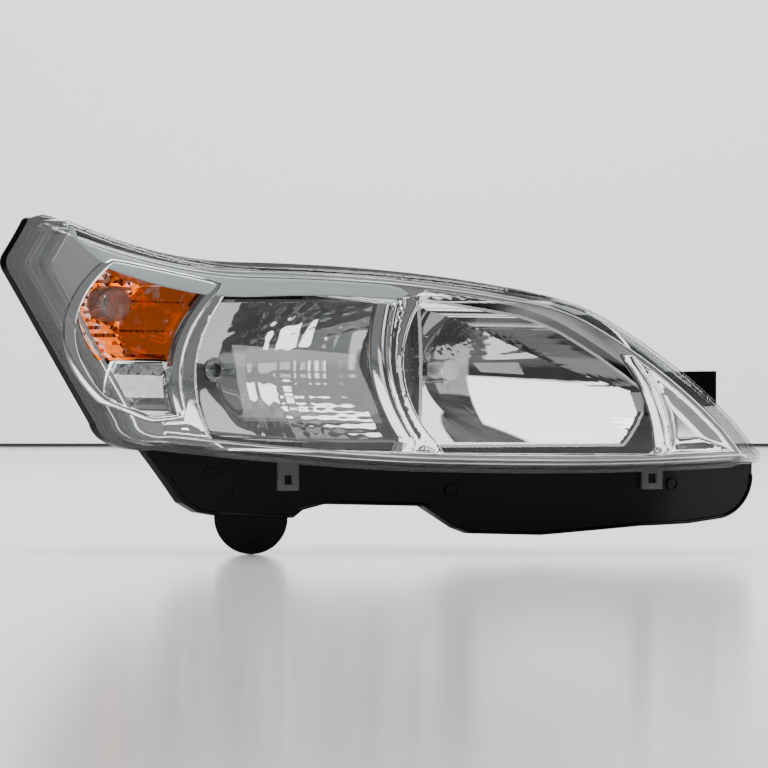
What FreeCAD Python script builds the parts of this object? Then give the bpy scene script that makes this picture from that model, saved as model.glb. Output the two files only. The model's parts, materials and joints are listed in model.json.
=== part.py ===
import FreeCAD, Part
import math
import os
import re

import Sketcher
from FreeCAD import Placement, Rotation, Vector

# A swept-back halogen car headlamp for the side of the car that lies at -X.
# -Y is the direction the lamp shines, +X runs towards the middle of the car and +Z is up.
# The design is laid out from the crown of the outer lens (u to the right, w backwards, z up).
# datum_x and datum_y then move it so that the origin is the middle of the bottom of its box.

SIZES = {
    # placing
    "datum_x": -73.5, "datum_y": -90.3,
    # outer lens: a dome with one radius, whose chord is swept back by 38 degrees
    "sweep": 38, "lens_radius": 640, "crown_height": 150,
    "lens_wall": 2.8, "lens_depth": 40, "lens_flange": 4, "lens_flange_depth": 3.3,
    # rim of the housing and the sealing groove
    "rim_depth": 37, "rim_back": 46, "groove_depth": 43, "groove_out": 1.2, "rim_inset": 4,
    "housing_wall": 2.5, "gap": 0.1,
    # stepped back of the housing
    "back_deep": 285, "back_near": 165, "step_u": 5, "slant_u": 165, "back_wall": 3,
    "pod_deep": 274, "pod_back": 246, "pod_step_u": -93, "pod_step_z": 172, "flank_inset": 4,
    # skirt and lower lug
    "skirt_front": 41, "skirt_back": 44, "skirt_lip_back": 50, "skirt_lip": 3,
    "lug_across": -111.7, "lug_z": 31, "lug_radius": 31, "lug_hole_z": 10, "lug_hole_radius": 1.6,
    # fixings
    "fix_bore": 3.25, "fix_sleeve": 6, "fix_in_u": 285, "fix_in_w": -33, "fix_in_z": 128,
    "fix_out_u": -120, "fix_out_w": 264, "fix_out_z": 262, "fix_length": 12,
    # bezel and chrome trim
    "bezel_front": 14, "bezel_back": 16.5, "bezel_inset": 7, "bezel_wall": 2.5,
    "collar_back": 42, "collar_wall": 2, "trim_gap": 0.3,
    # main reflectors
    "bowl_wall": 2.5, "focal": 25, "bowl_front": 56, "bowl_inset": 15.5, "bowl_top": 214,
    "bulb_z": 154, "neck_radius": 15, "bulb_hole": 11, "neck_length": 5,
    "low_u": -47.7, "low_w": 174.4, "low_left": 46, "low_right": 94, "low_bottom": 94,
    "high_u": 107, "high_w": 88, "high_left": 60, "high_right": 119, "high_bottom": 90,
    # bulbs
    "glass_radius": 6, "glass_length": 36, "glass_wall": 1.1, "flange_radius": 14,
    "flange_thick": 1.5, "base_radius": 10, "barrel_radius": 8, "barrel_length": 7.4,
    "filament_radius": 0.9, "filament_length": 5, "post_radius": 0.4, "plug_side": 16,
    "plug_length": 9.9, "shield_radius": 10, "shield_length": 20, "shield_front": 43,
    "shield_wall": 1, "strap_thick": 0.8, "strap_width": 6,
    # bulb clips
    "clip_reach": 17, "clip_half": 12.5, "clip_wire": 0.8,
    # indicator and side lamp
    "ind_u": -130, "ind_z": 210, "ind_w": 225, "ind_focal": 18, "ind_hole": 13.5,
    "side_u": -107, "side_z": 138, "side_w": 222, "side_hole": 6.6, "pod_front": 20,
    "pod_split": 163, "cap_radius": 15, "cap_front": 195, "cap_wall": 1.6,
    # rear covers
    "cover_hole": 38, "neck_wall": 4, "cover_neck": 8, "seal_thick": 2, "cover_disc": 3,
    "cover_rim": 45, "lug_reach": 41, "grip_length": 56, "grip_width": 9, "grip_height": 9,
    # aiming: ball studs on the housing, sockets in the carrier
    "ball_radius": 4, "pivot_u": 50, "pivot_w": 135, "pivot_z": 95, "level_z": 205, "aim_u": 150,
    "stud_radius": 2.6, "pivot_clear": 0.1, "level_clear": 0.5, "socket_radius": 8,
    "socket_length": 14, "cup_radius": 7.5, "plate_front": 125, "plate_thick": 4, "plate_inset": 13,
    "post_bore": 1.85, "post_size": 4, "screw_head": 3.6, "screw_radius": 1.75,
    # levelling motor and aim adjuster
    "motor_radius": 24, "motor_length": 40, "motor_wall": 2.5, "spigot_radius": 13.7,
    "shank_radius": 4, "rotor_radius": 15, "thumb_radius": 10, "thumb_length": 8,
    "aim_shank": 3.2, "bush_radius": 9, "knob_radius": 12, "knob_length": 11,
    # connector, vents and loom
    "plug_u": -62, "plug_z": 214, "connector_width": 34, "connector_height": 18,
    "vent_radius": 6, "loom_radius": 3,
}

doc = FreeCAD.newDocument("headlamp")
sheet = doc.addObject("Spreadsheet::Sheet", "Dims")
for row, (alias, value) in enumerate(SIZES.items(), start=1):
    sheet.set("A%d" % row, alias)
    sheet.set("B%d" % row, str(value))
    sheet.setAlias("B%d" % row, alias)
doc.recompute()

WORD = re.compile(r"[a-z_]+[a-z]")
NODES = []
BACKWARDS = Rotation(Vector(1, 0, 0), -90)
ACROSS = Rotation(Vector(0, 1, 0), 90)
FLANK = ((-209, 110), (-282, 238))
FRONT_LIMIT = -300
BACK_LIMIT = 500


def size(alias):
    return float(sheet.get(alias))


def cells(text):
    """Turn the sheet's words in a formula into references to its cells."""
    return WORD.sub(lambda word: "Dims." + word.group(0), str(text))


def at(u, w, z, turn=Rotation()):
    """A placement given from the crown of the lens."""
    return Placement(Vector(u + size("datum_x"), w + size("datum_y"), z), turn)


def keep(obj, label):
    """Name a finished sub-part, which gets a file of its own."""
    obj.Label = label
    NODES.append(obj)
    return obj


# ---- parametric building blocks ---------------------------------------------------------------

def cylinder(radius, length, place):
    obj = doc.addObject("Part::Cylinder", "Cylinder")
    obj.setExpression("Radius", cells(radius))
    obj.setExpression("Height", cells(length))
    obj.Placement = place
    return obj


def sphere(radius, place):
    obj = doc.addObject("Part::Sphere", "Sphere")
    obj.setExpression("Radius", cells(radius))
    obj.Placement = place
    return obj


def box(length, width, height, place):
    """A box centred on its placement in X and Z and starting there in Y."""
    obj = doc.addObject("Part::Box", "Box")
    obj.setExpression("Length", cells(length))
    obj.setExpression("Width", cells(width))
    obj.setExpression("Height", cells(height))
    doc.recompute()
    half = Vector(-obj.Length.Value / 2, 0, -obj.Height.Value / 2)
    obj.Placement = Placement(place.Base + half, place.Rotation)
    return obj


def fuse(*parts):
    obj = doc.addObject("Part::MultiFuse", "Fuse")
    obj.Shapes = list(parts)
    return obj


def cut(base, *tools):
    obj = doc.addObject("Part::Cut", "Cut")
    obj.Base = base
    obj.Tool = tools[0] if len(tools) == 1 else fuse(*tools)
    return obj


def origin_plane(body, role):
    return [f for f in body.Origin.OriginFeatures if f.Role == role][0]


def outline_sketch(body, points, role):
    """A closed outline whose corners are held by formulas (across, up) from the origin."""
    sketch = body.newObject("Sketcher::SketchObject", "Sketch")
    sketch.AttachmentSupport = [(origin_plane(body, role), "")]
    sketch.MapMode = "FlatFace"
    count = len(points)
    rough = [Vector(math.cos(2 * math.pi * i / count), math.sin(2 * math.pi * i / count), 0)
             for i in range(count)]
    for i in range(count):
        sketch.addGeometry(Part.LineSegment(rough[i], rough[(i + 1) % count]))
    for i in range(count):
        sketch.addConstraint(Sketcher.Constraint("Coincident", i, 2, (i + 1) % count, 1))
    for i, corner in enumerate(points):
        for kind, formula in zip(("DistanceX", "DistanceY"), corner):
            n = sketch.addConstraint(Sketcher.Constraint(kind, -1, 1, i, 1, 0.0))
            sketch.setExpression("Constraints[%d]" % n, cells(formula))
    return sketch


def turned(points, place):
    """A body turned about its own Z axis from an outline of (radius, height) formulas."""
    body = doc.addObject("PartDesign::Body", "Turned")
    sketch = outline_sketch(body, points, "XZ_Plane")
    spin = body.newObject("PartDesign::Revolution", "Revolution")
    spin.Profile = sketch
    spin.ReferenceAxis = (sketch, ["V_Axis"])
    spin.Angle = 360
    sketch.Visibility = False
    body.Placement = place
    return body


def notches(body, radius, notch, count, length):
    """Cut finger notches round the rim of a turned body, by a patterned pocket."""
    doc.recompute()
    sketch = body.newObject("Sketcher::SketchObject", "Notch")
    sketch.AttachmentSupport = [(origin_plane(body, "XY_Plane"), "")]
    sketch.MapMode = "FlatFace"
    sketch.addGeometry(Part.Circle(Vector(10, 0, 0), Vector(0, 0, 1), 1))
    n = sketch.addConstraint(Sketcher.Constraint("DistanceX", -1, 1, 0, 3, 10))
    sketch.setExpression("Constraints[%d]" % n, cells(radius))
    sketch.addConstraint(Sketcher.Constraint("PointOnObject", 0, 3, -1))
    n = sketch.addConstraint(Sketcher.Constraint("Radius", 0, 1))
    sketch.setExpression("Constraints[%d]" % n, cells(notch))
    pocket = body.newObject("PartDesign::Pocket", "Pocket")
    pocket.Profile = sketch
    pocket.Reversed = True
    pocket.setExpression("Length", cells(length))
    pattern = body.newObject("PartDesign::PolarPattern", "Notches")
    pattern.Originals = [pocket]
    pattern.Axis = (sketch, ["N_Axis"])
    pattern.Angle = 360
    pattern.Occurrences = count
    body.Tip = pattern
    return body


# ---- moulded shapes, laid out on the dome of the lens ------------------------------------------

SWEEP = math.radians(size("sweep"))


def plan(station, z):
    """u and w of the point of the lens surface at a distance along its chord and a height."""
    radius, rise = size("lens_radius"), z - size("crown_height")
    dip = radius - math.sqrt(radius ** 2 - station ** 2 - rise ** 2)
    u = station * math.cos(SWEEP) + dip * math.sin(SWEEP)
    w = -station * math.sin(SWEEP) + dip * math.cos(SWEEP)
    return u, w


def spot(station, z):
    return Vector(plan(station, z)[0], 0, z)


def dome(depth):
    """Everything behind the lens surface moved back by a depth: a great ball."""
    radius = size("lens_radius")
    centre = Vector(radius * math.sin(SWEEP), radius * math.cos(SWEEP) + depth,
                    size("crown_height"))
    return Part.makeSphere(radius, centre, Vector(0, 0, 1))


def wire(runs):
    """A closed outline from runs of (kind, [(station, z), ...])."""
    edges = []
    for kind, points in runs:
        spots = [spot(*point) for point in points]
        if kind == "arc":
            edges.append(Part.Arc(*spots).toShape())
        else:
            edges += [Part.makeLine(a, b) for a, b in zip(spots, spots[1:])]
    return Part.Wire(edges)


def grown(outline, by):
    return outline.makeOffset2D(by) if by else outline


def single(shape):
    """The one solid of a boolean's result, out of its compound."""
    return shape.Solids[0] if len(shape.Solids) == 1 else shape


def column(outline):
    """The outline drawn out along Y, right through the lamp."""
    face = Part.Face(outline)
    face.translate(Vector(0, FRONT_LIMIT, 0))
    return face.extrude(Vector(0, BACK_LIMIT - FRONT_LIMIT, 0))


def between(shape, front, back):
    """The part of a shape between two depths behind the lens surface."""
    return single(shape.common(dome(front)).cut(dome(back)))


def slab(outline, front, back):
    return between(column(outline), front, back)


def ring(outer, inner, front, back):
    return single(slab(outer, front, back).cut(column(inner)))


def rod(u, z, radius, w_front, w_back):
    return Part.makeCylinder(radius, w_back - w_front, Vector(u, w_front, z), Vector(0, 1, 0))


def square_rod(across, z, radius):
    """A rod square to the lens's chord, at a distance along the chord from the crown."""
    axis = Vector(math.sin(SWEEP), math.cos(SWEEP), 0)
    start = Vector(across * math.cos(SWEEP), -across * math.sin(SWEEP), z) + axis * FRONT_LIMIT
    return Part.makeCylinder(radius, BACK_LIMIT - FRONT_LIMIT, start, axis)


def block(u, w, z):
    """A block from three (low, high) pairs."""
    return Part.makeBox(u[1] - u[0], w[1] - w[0], z[1] - z[0], Vector(u[0], w[0], z[0]))


def moulded(label, shape):
    """A Part feature for a shape that sketches and primitives don't fit."""
    obj = doc.addObject("Part::Feature", label)
    obj.Shape = single(shape)
    obj.Placement = at(0, 0, 0)
    return keep(obj, label)


LENS = wire([
    ("arc", [(-264, 281), (-195, 256.5), (-103, 241.5)]),
    ("arc", [(-103, 241.5), (13, 235.5), (122, 220.5)]),
    ("arc", [(122, 220.5), (155, 213), (183, 201)]),
    ("arc", [(183, 201), (244, 160), (299, 109)]),
    ("line", [(299, 109), (315, 88)]),
    ("arc", [(315, 88), (319, 79.5), (313, 75.5)]),
    ("arc", [(313, 75.5), (171, 72), (38, 74.5)]),
    ("arc", [(38, 74.5), (-79, 82.5), (-171, 91.5)]),
    ("arc", [(-171, 91.5), (-203, 97), (-213, 110)]),
    ("arc", [(-213, 110), (-250, 175), (-286, 238)]),
    ("arc", [(-286, 238), (-288, 244), (-286.5, 250)]),
    ("line", [(-286.5, 250), (-271, 277)]),
    ("arc", [(-271, 277), (-268.5, 280), (-264, 281)]),
])
SKIRT = wire([
    ("line", [(337, 76), (-180, 92), (-145, 43.3), (-131, 35), (-116, 32.5), (-51.5, 30.8)]),
    ("line", [(-51.5, 30.8), (-43.5, 37.5), (-25, 42.5), (58, 40.8), (85.5, 22.5), (98, 17.5)]),
    ("line", [(98, 17.5), (156.5, 15.8), (239.5, 22.5), (281.5, 24), (306.5, 27.5)]),
    ("arc", [(306.5, 27.5), (328, 39), (337, 62)]),
    ("line", [(337, 62), (337, 76)]),
])
LOW_WINDOW = wire([
    ("arc", [(-134, 97), (-147, 158), (-116, 227)]),
    ("line", [(-116, 227), (17, 211)]),
    ("arc", [(17, 211), (12, 166), (35, 97)]),
    ("line", [(35, 97), (31, 87), (-124, 90), (-134, 97)]),
])
HIGH_WINDOW = wire([
    ("arc", [(52, 97), (26, 160), (40, 211)]),
    ("line", [(40, 211), (148, 211)]),
    ("arc", [(148, 211), (192, 195), (222, 160)]),
    ("arc", [(222, 160), (240, 126), (247, 92)]),
    ("arc", [(247, 92), (246, 86), (240, 84)]),
    ("line", [(240, 84), (60, 86), (52, 97)]),
])
POD_WINDOW = wire([
    ("arc", [(-223.5, 131), (-251, 186), (-219, 244)]),
    ("line", [(-219, 244), (-134, 226)]),
    ("arc", [(-134, 226), (-165, 178), (-165, 118)]),
    ("line", [(-165, 118), (-186, 116), (-223.5, 131)]),
])
CHROME_EDGE = wire([
    ("line", [(-176, 40), (-176, 118), (-178, 185), (-146, 224), (-138, 232), (34, 217)]),
    ("line", [(34, 217), (46, 223), (50, 260), (345, 260), (345, 40), (-176, 40)]),
])


def back_outline(inset):
    """Plan of the housing's stepped back, far in front of it at the open side."""
    deep, near, step = size("back_deep"), size("back_near"), size("step_u")
    pod, pod_deep = size("pod_step_u"), size("pod_deep")
    corners = [(-260, FRONT_LIMIT), (-260, pod_deep), (pod, pod_deep), (pod, deep), (step, deep),
               (step, near), (size("slant_u"), near), (235, 20), (300, -60), (345, -120),
               (345, FRONT_LIMIT)]
    plan_wire = Part.makePolygon([Vector(u, w, 0) for u, w in corners + corners[:1]])
    face = Part.Face(grown(plan_wire, -inset) if inset else plan_wire)
    return face.extrude(Vector(0, 0, 400))


def flank_room(inset):
    """Everything inboard of the outer flank, which runs back square to the lens's chord."""
    edge = -size("rim_back") * math.sin(SWEEP) + inset
    (low_station, low_z), (high_station, high_z) = FLANK
    lean = (high_station - low_station) / (high_z - low_z)
    foot = low_station - lean * low_z + edge
    corners = [(foot, 0), (600, 0), (600, 400), (foot + lean * 400, 400)]
    face = Part.Face(Part.makePolygon([Vector(x, -600, z) for x, z in corners + corners[:1]]))
    room = face.extrude(Vector(0, 1400, 0))
    room.rotate(Vector(), Vector(0, 0, 1), -size("sweep"))
    return room


def tub_room(side_inset, back_inset):
    """Room within the tub's outline, drawn in by one distance at the sides, another at the back."""
    room = column(grown(LENS, -side_inset)).common(back_outline(back_inset))
    below_indicator = block((-300, size("pod_step_u") + back_inset),
                            (size("pod_back") - back_inset, BACK_LIMIT),
                            (0, size("pod_step_z") + back_inset))
    return room.cut(below_indicator).common(flank_room(size("flank_inset") + back_inset))


# ---- fixed shells ------------------------------------------------------------------------------

def housing():
    """Black moulded tub with its sealing groove, skirt, lug, brackets and rear necks."""
    inset, wall = size("rim_inset"), size("housing_wall")
    tub = tub_room(inset, 0).common(dome(size("rim_depth")))
    hollow = tub_room(inset + wall, size("back_wall"))
    rim = ring(grown(LENS, inset), grown(LENS, -inset), size("rim_depth"), size("rim_back"))
    groove = ring(grown(LENS, size("groove_out")), grown(LENS, -inset),
                  size("rim_depth") - 5, size("groove_depth"))
    lug = square_rod(size("lug_across"), size("lug_z"), size("lug_radius"))
    plate = column(SKIRT).fuse(lug)
    skirt = between(plate, size("skirt_front"), size("skirt_back"))
    lip = ring(SKIRT, grown(SKIRT, -size("skirt_lip")), size("skirt_back") - 1,
               size("skirt_lip_back"))
    body = single(tub.cut(hollow))
    for piece in (rim, skirt.cut(hollow), lip.cut(hollow)):
        body = single(body.fuse(single(piece)))
    body = single(body.cut(groove))
    for piece in skirt_details() + brackets() + rear_necks():
        body = single(body.fuse(piece.cut(hollow)))
    for opening in housing_openings():
        body = single(body.cut(opening))
    return moulded("housing", body)


def skirt_details():
    """Dished bosses and two snap hooks on the front of the skirt, and ribs behind it."""
    front, back = size("skirt_front"), size("skirt_back")
    parts = []
    for station, z in ((-120, 68), (81, 54), (268, 58)):
        u = plan(station, z)[0]
        disc, dish = (rod(u, z, radius, FRONT_LIMIT, BACK_LIMIT) for radius in (5.2, 4))
        parts.append(between(disc, front - 2, back - 1).cut(dish.cut(dome(front - 0.6))))
    for station in (-59, 247):
        hook = wire([("line", [(station - 3, 60), (station + 3, 60), (station + 3, 66),
                               (station - 3, 66), (station - 3, 60)])])
        parts.append(slab(hook, front - 3, back - 1))
    for station in (-100, -20, 70, 160, 250):
        u, w = plan(station, 60)
        foot = w + size("skirt_back") - 1
        parts.append(block((u - 1.2, u + 1.2), (foot, foot + 22), (50, 84)))
    return parts


def brackets():
    """Inboard tab beside the tip and outboard ear on top of the tub, both with sleeve holes."""
    u, w, z = size("fix_in_u"), size("fix_in_w"), size("fix_in_z")
    tab = block((u - 11, u + 30), (w - 3, w + 3), (92, z + 12)).fuse(
        block((u - 11, u + 46), (w - 3, w + 3), (z - 6, z + 24)))
    boss_in = rod(u, z, 9, w - 6, w + 5.8)
    u, w, z = size("fix_out_u"), size("fix_out_w"), size("fix_out_z")
    ear = block((u - 12, u + 12), (w - 3, w + 3), (z - 17, z + 2)).fuse(rod(u, z, 12, w - 3, w + 3))
    boss_out = rod(u, z, 9, w - 6, w + 5.8)
    return [tab, boss_in, ear, boss_out]


def cover_seats():
    """u, z and wall face of the two big rear openings."""
    return ((size("low_u"), size("bulb_z"), size("back_deep")),
            (size("high_u"), size("bulb_z"), size("back_near")))


def rear_necks():
    """Collars round the two big rear openings."""
    outer = size("cover_hole") + size("neck_wall")
    return [rod(u, z, outer, w - 1, w + size("cover_neck")) for u, z, w in cover_seats()]


def housing_openings():
    """Everything cut through the housing."""
    wall = size("back_wall")
    cuts = []
    for u, z, w in cover_seats():
        cuts.append(rod(u, z, size("cover_hole"), w - wall - 5, w + size("cover_neck") + 5))
        for turn in (30, 150, 270):
            notch = block((-6, 6), (w - wall - 5, w + size("cover_neck") + 5),
                          (size("cover_hole") - 3, size("lug_reach") + 0.4))
            notch.rotate(Vector(), Vector(0, 1, 0), turn)
            notch.translate(Vector(u, 0, z))
            cuts.append(notch)
    deep, near = size("back_deep"), size("back_near")
    holes = [(size("ind_u"), size("ind_z"), 17, size("pod_deep")),
             (size("side_u"), size("side_z"), 9, size("pod_back")),
             (size("pivot_u"), size("level_z"), 14, near), (size("aim_u"), size("pivot_z"), 7, near),
             (size("pivot_u"), size("pivot_z"), 3.6, near), (30, 122, 3.5, near),
             (-10, 225, 3.5, deep)]
    cuts += [rod(u, z, radius, w - wall - 2, w + 2) for u, z, radius, w in holes]
    half_w, half_h = size("connector_width") / 2 - 3, size("connector_height") / 2 - 3
    cuts.append(block((size("plug_u") - half_w, size("plug_u") + half_w), (deep - 6, deep + 2),
                      (size("plug_z") - half_h, size("plug_z") + half_h)))
    sleeve = size("fix_sleeve") + 0.02
    cuts.append(rod(size("fix_in_u"), size("fix_in_z"), sleeve, size("fix_in_w") - 9,
                    size("fix_in_w") + 9))
    cuts.append(rod(size("fix_out_u"), size("fix_out_z"), sleeve, size("fix_out_w") - 9,
                    size("fix_out_w") + 9))
    dimple = square_rod(size("lug_across"), size("lug_hole_z"), size("lug_hole_radius"))
    cuts.append(dimple.cut(dome(size("skirt_back") - 1)))
    return cuts


def outer_lens():
    """Clear lens: a domed cap with a side wall, a rim flange and two snap tabs."""
    wall, depth = size("lens_wall"), size("lens_depth")
    shell = slab(LENS, 0, depth).cut(column(grown(LENS, -wall)).common(dome(wall + 0.4)))
    front = size("rim_depth") - size("gap") - size("lens_flange_depth")
    flange = ring(grown(LENS, size("lens_flange")), grown(LENS, -0.5), front,
                  front + size("lens_flange_depth"))
    shell = shell.fuse([flange] + [snap_tab(station) for station in (-59, 247)])
    return moulded("outer_lens", shell.removeSplitter())


def snap_tab(station):
    """A tab of the lens with a window that snaps over a hook of the skirt."""
    def frame(half, low, high):
        return wire([("line", [(station - half, low), (station + half, low),
                               (station + half, high), (station - half, high),
                               (station - half, low)])])
    front = size("rim_depth") - size("gap") - size("lens_flange_depth")
    plate = slab(frame(8.5, 54, 79 if station < 0 else 74), front, front + 2.4)
    return plate.cut(column(frame(3.6, 59, 67)))


def lens_seal():
    """Sealing bead in the groove under the foot of the lens."""
    gap = size("gap")
    bead = ring(grown(LENS, size("groove_out") - gap), grown(LENS, -size("rim_inset") + gap),
                size("lens_depth") + gap, size("groove_depth") - gap)
    return moulded("lens_seal", bead)


def panel(region_inset, front, back):
    """The decorative panel with its three windows."""
    face = slab(grown(LENS, -region_inset), front, back)
    return face.cut([column(LOW_WINDOW), column(HIGH_WINDOW), column(POD_WINDOW)])


def bezel_frame():
    """Satin frame: outer wall all round, with the panel round the indicator and along the top."""
    inset, wall = size("bezel_inset"), size("bezel_wall")
    rim = ring(grown(LENS, -inset), grown(LENS, -inset - wall), size("bezel_front"),
               size("rim_back"))
    face = panel(inset + wall / 2, size("bezel_front"), size("bezel_back"))
    face = face.cut(column(grown(CHROME_EDGE, size("trim_gap"))))
    return moulded("bezel_frame", rim.fuse(face).removeSplitter())


def chrome_trim():
    """Chromed trim: the panel round both main windows and the deep collars of the windows."""
    inset = size("bezel_inset") + size("bezel_wall") + size("trim_gap")
    face = panel(inset, size("bezel_front"), size("bezel_back")).common(column(CHROME_EDGE))
    collars = [ring(grown(window, size("collar_wall")), window, size("bezel_front"), back)
               for window, back in ((LOW_WINDOW, size("collar_back")),
                                    (HIGH_WINDOW, size("collar_back") - 8))]
    inside = column(grown(LENS, -inset)).common(column(CHROME_EDGE))
    body = face.fuse([collar.common(inside) for collar in collars])
    body = body.cut([column(LOW_WINDOW), column(HIGH_WINDOW)])
    return moulded("chrome_trim", body.removeSplitter())


# ---- reflectors --------------------------------------------------------------------------------

def paraboloid(u, w, z, focal, reach):
    """Everything in front of a paraboloid that opens forwards from its apex."""
    stations = [reach * i / 10 for i in range(11)]
    curve = Part.BSplineCurve()
    curve.interpolate([Vector(r, 0, r * r / (4 * focal)) for r in stations])
    top = Vector(0, 0, reach * reach / (4 * focal))
    profile = Part.Wire([curve.toShape(), Part.makeLine(top + Vector(reach, 0, 0), top),
                         Part.makeLine(top, Vector())])
    solid = Part.Face(profile).revolve(Vector(), Vector(0, 0, 1), 360)
    solid.Placement = Placement(Vector(u, w, z), Rotation(Vector(1, 0, 0), 90))
    return solid


def bowl_with_neck(region, inner_region, u, w, z, focal, hole, neck):
    """A thin bowl on a paraboloid, closed at its sides by the walls of its region."""
    wall = size("bowl_wall")
    outer = region.common(paraboloid(u, w + wall, z, focal, 200))
    inner = inner_region.common(paraboloid(u, w, z, focal, 200))
    shell = outer.cut(inner)
    shell = shell.fuse(rod(u, z, neck, w - 1, w + size("neck_length")))
    return shell.cut(rod(u, z, hole, w - 15, w + size("neck_length") + 1))


def main_bowl(label, side, posts):
    """Low or high beam reflector, with posts for the carrier."""
    u, w, z = size(side + "_u"), size(side + "_w"), size("bulb_z")
    wall = size("bowl_wall")

    def region(inset):
        span = (u - size(side + "_left"), u + size(side + "_right"))
        slice_z = (size(side + "_bottom") + inset, size("bowl_top") - inset)
        room = column(grown(LENS, -size("bowl_inset") - inset))
        return room.common(block(span, (FRONT_LIMIT, BACK_LIMIT), slice_z))

    body = bowl_with_neck(region(0), region(wall), u, w, z, size("focal"), size("bulb_hole"),
                          size("neck_radius"))
    body = body.common(dome(size("bowl_front")))
    inside = paraboloid(u, w + 1, z, size("focal"), 200)
    for post_u, post_z in posts:
        post = rod(post_u, post_z, size("post_size"), -120, size("plate_front")).cut(inside)
        body = body.fuse(post)
        body = body.cut(rod(post_u, post_z, size("post_bore"), size("plate_front") - 14,
                            size("plate_front") + 1).cut(inside))
    return moulded(label, body.removeSplitter())


def pod_region(inset, low, high):
    edge = size("bezel_inset") + size("bezel_wall") + size("trim_gap")
    room = column(grown(POD_WINDOW, 1.5 - inset)).common(column(grown(LENS, -edge - inset)))
    return room.common(block((-300, 0), (FRONT_LIMIT, BACK_LIMIT), (low + inset, high - inset)))


def pod_reflector(label, side, focal, low, high):
    """Reflector of the indicator or of the side lamp, which stand one above the other."""
    u, w, z = size(side + "_u"), size(side + "_w"), size(side + "_z")
    hole = size(side + "_hole")
    body = bowl_with_neck(pod_region(0, low, high), pod_region(1.8, low, high), u, w, z, focal,
                          hole, hole + 2.5)
    return moulded(label, body.common(dome(size("pod_front"))).removeSplitter())


# ---- bulbs -------------------------------------------------------------------------------------

def bulb(side):
    """Halogen bulb: metal base with its flange, quartz tube, filament, plug and, in front, shield."""
    seat = at(size(side + "_u"), size(side + "_w"), size("bulb_z"), BACKWARDS)
    neck = "neck_length + gap"
    base = turned([
        ("glass_radius + gap", "-4"), ("base_radius", "-4"), ("base_radius", neck),
        ("flange_radius", neck), ("flange_radius", neck + " + flange_thick"),
        ("barrel_radius", neck + " + flange_thick"),
        ("barrel_radius", neck + " + flange_thick + barrel_length"),
        ("0", neck + " + flange_thick + barrel_length"), ("0", "0"),
        ("glass_radius + gap", "0")], seat)
    keep(base, side + "_bulb_base")
    glass = turned([
        ("0", "-glass_length"), ("glass_radius * 0.5", "0.6 - glass_length"),
        ("glass_radius * 0.87", "2.4 - glass_length"), ("glass_radius", "5 - glass_length"),
        ("glass_radius", "-gap"), ("0", "-gap"), ("0", "-5"), ("glass_radius - glass_wall", "-5"),
        ("glass_radius - glass_wall", "5 - glass_length"),
        ("0", "glass_wall + 0.6 - glass_length")], seat)
    keep(glass, side + "_bulb_glass")
    filament(side, seat)
    plug_start = size("neck_length") + size("gap") * 2 + size("flange_thick")
    plug_start += size("barrel_length")
    plug = box("plug_side", "plug_length", "plug_side",
               at(size(side + "_u"), size(side + "_w") + plug_start, size("bulb_z")))
    keep(plug, side + "_bulb_plug")


def filament(side, seat):
    """Coil across the focus on two support wires."""
    u, w, z = size(side + "_u"), size(side + "_w"), size("bulb_z")
    reach = size("focal") - 5 - size("gap")
    coil = cylinder("filament_radius", "filament_length", at(u - 2.5, w - size("focal"), z, ACROSS))
    posts = [cylinder("post_radius", "focal - 5 - gap",
                      at(u + shift, w - 5 - size("gap") - reach, z, BACKWARDS))
             for shift in (-1.8, 1.8)]
    keep(fuse(coil, *posts), side + "_bulb_filament")


def bulb_shield(side, foot):
    """Cap in front of the bulb on a strap that stands on the reflector."""
    u, w, z = size(side + "_u"), size(side + "_w"), size("bulb_z")
    seat = at(u, w, z, BACKWARDS)
    cap = turned([
        ("0", "-shield_front"), ("shield_radius - 1", "-shield_front"),
        ("shield_radius", "1 - shield_front"), ("shield_radius", "shield_length - shield_front"),
        ("shield_radius - shield_wall", "shield_length - shield_front"),
        ("shield_radius - shield_wall", "shield_wall + 1 - shield_front"),
        ("0", "shield_wall + 1 - shield_front")], seat)
    drop = size("shield_radius") + 0.2 + size("strap_thick") / 2
    start = w - size("shield_front") + 6
    spacer = box("strap_width", "8", "1.4", at(u, start, z - drop + 0.4))
    strap = box("strap_width", "shield_front - 6 - %s" % (foot + 0.2), "strap_thick",
                at(u, start, z - drop))
    pad = box("strap_width", "strap_thick", "5", at(u, w - foot - size("strap_thick"), z - drop - 2))
    keep(fuse(cap, spacer, strap, pad), side + "_bulb_shield")


def bulb_clip(side):
    """Sprung wire that holds the bulb flange: hinged at its left, hooked at its right."""
    u, z = size(side + "_u"), size("bulb_z")
    w = size(side + "_w") + size("neck_length") + size("flange_thick") + size("gap") * 2
    reach, half, radius = size("clip_reach"), size("clip_half"), size("clip_wire")
    w += radius + 0.1
    arms = [rod_between(Vector(u - reach, w, z + side_z), Vector(u + reach, w, z + side_z), radius)
            for side_z in (-half, half)]
    ends = [rod_between(Vector(u + shift, w, z - half), Vector(u + shift, w, z + half), radius)
            for shift in (-reach, reach)]
    knots = [Part.makeSphere(radius, Vector(u + shift, w, z + side_z))
             for shift in (-reach, reach) for side_z in (-half, half)]
    return moulded(side + "_bulb_clip", arms[0].fuse(arms[1:] + ends + knots).removeSplitter())


def rod_between(start, end, radius):
    return Part.makeCylinder(radius, (end - start).Length, start, end - start)


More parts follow.
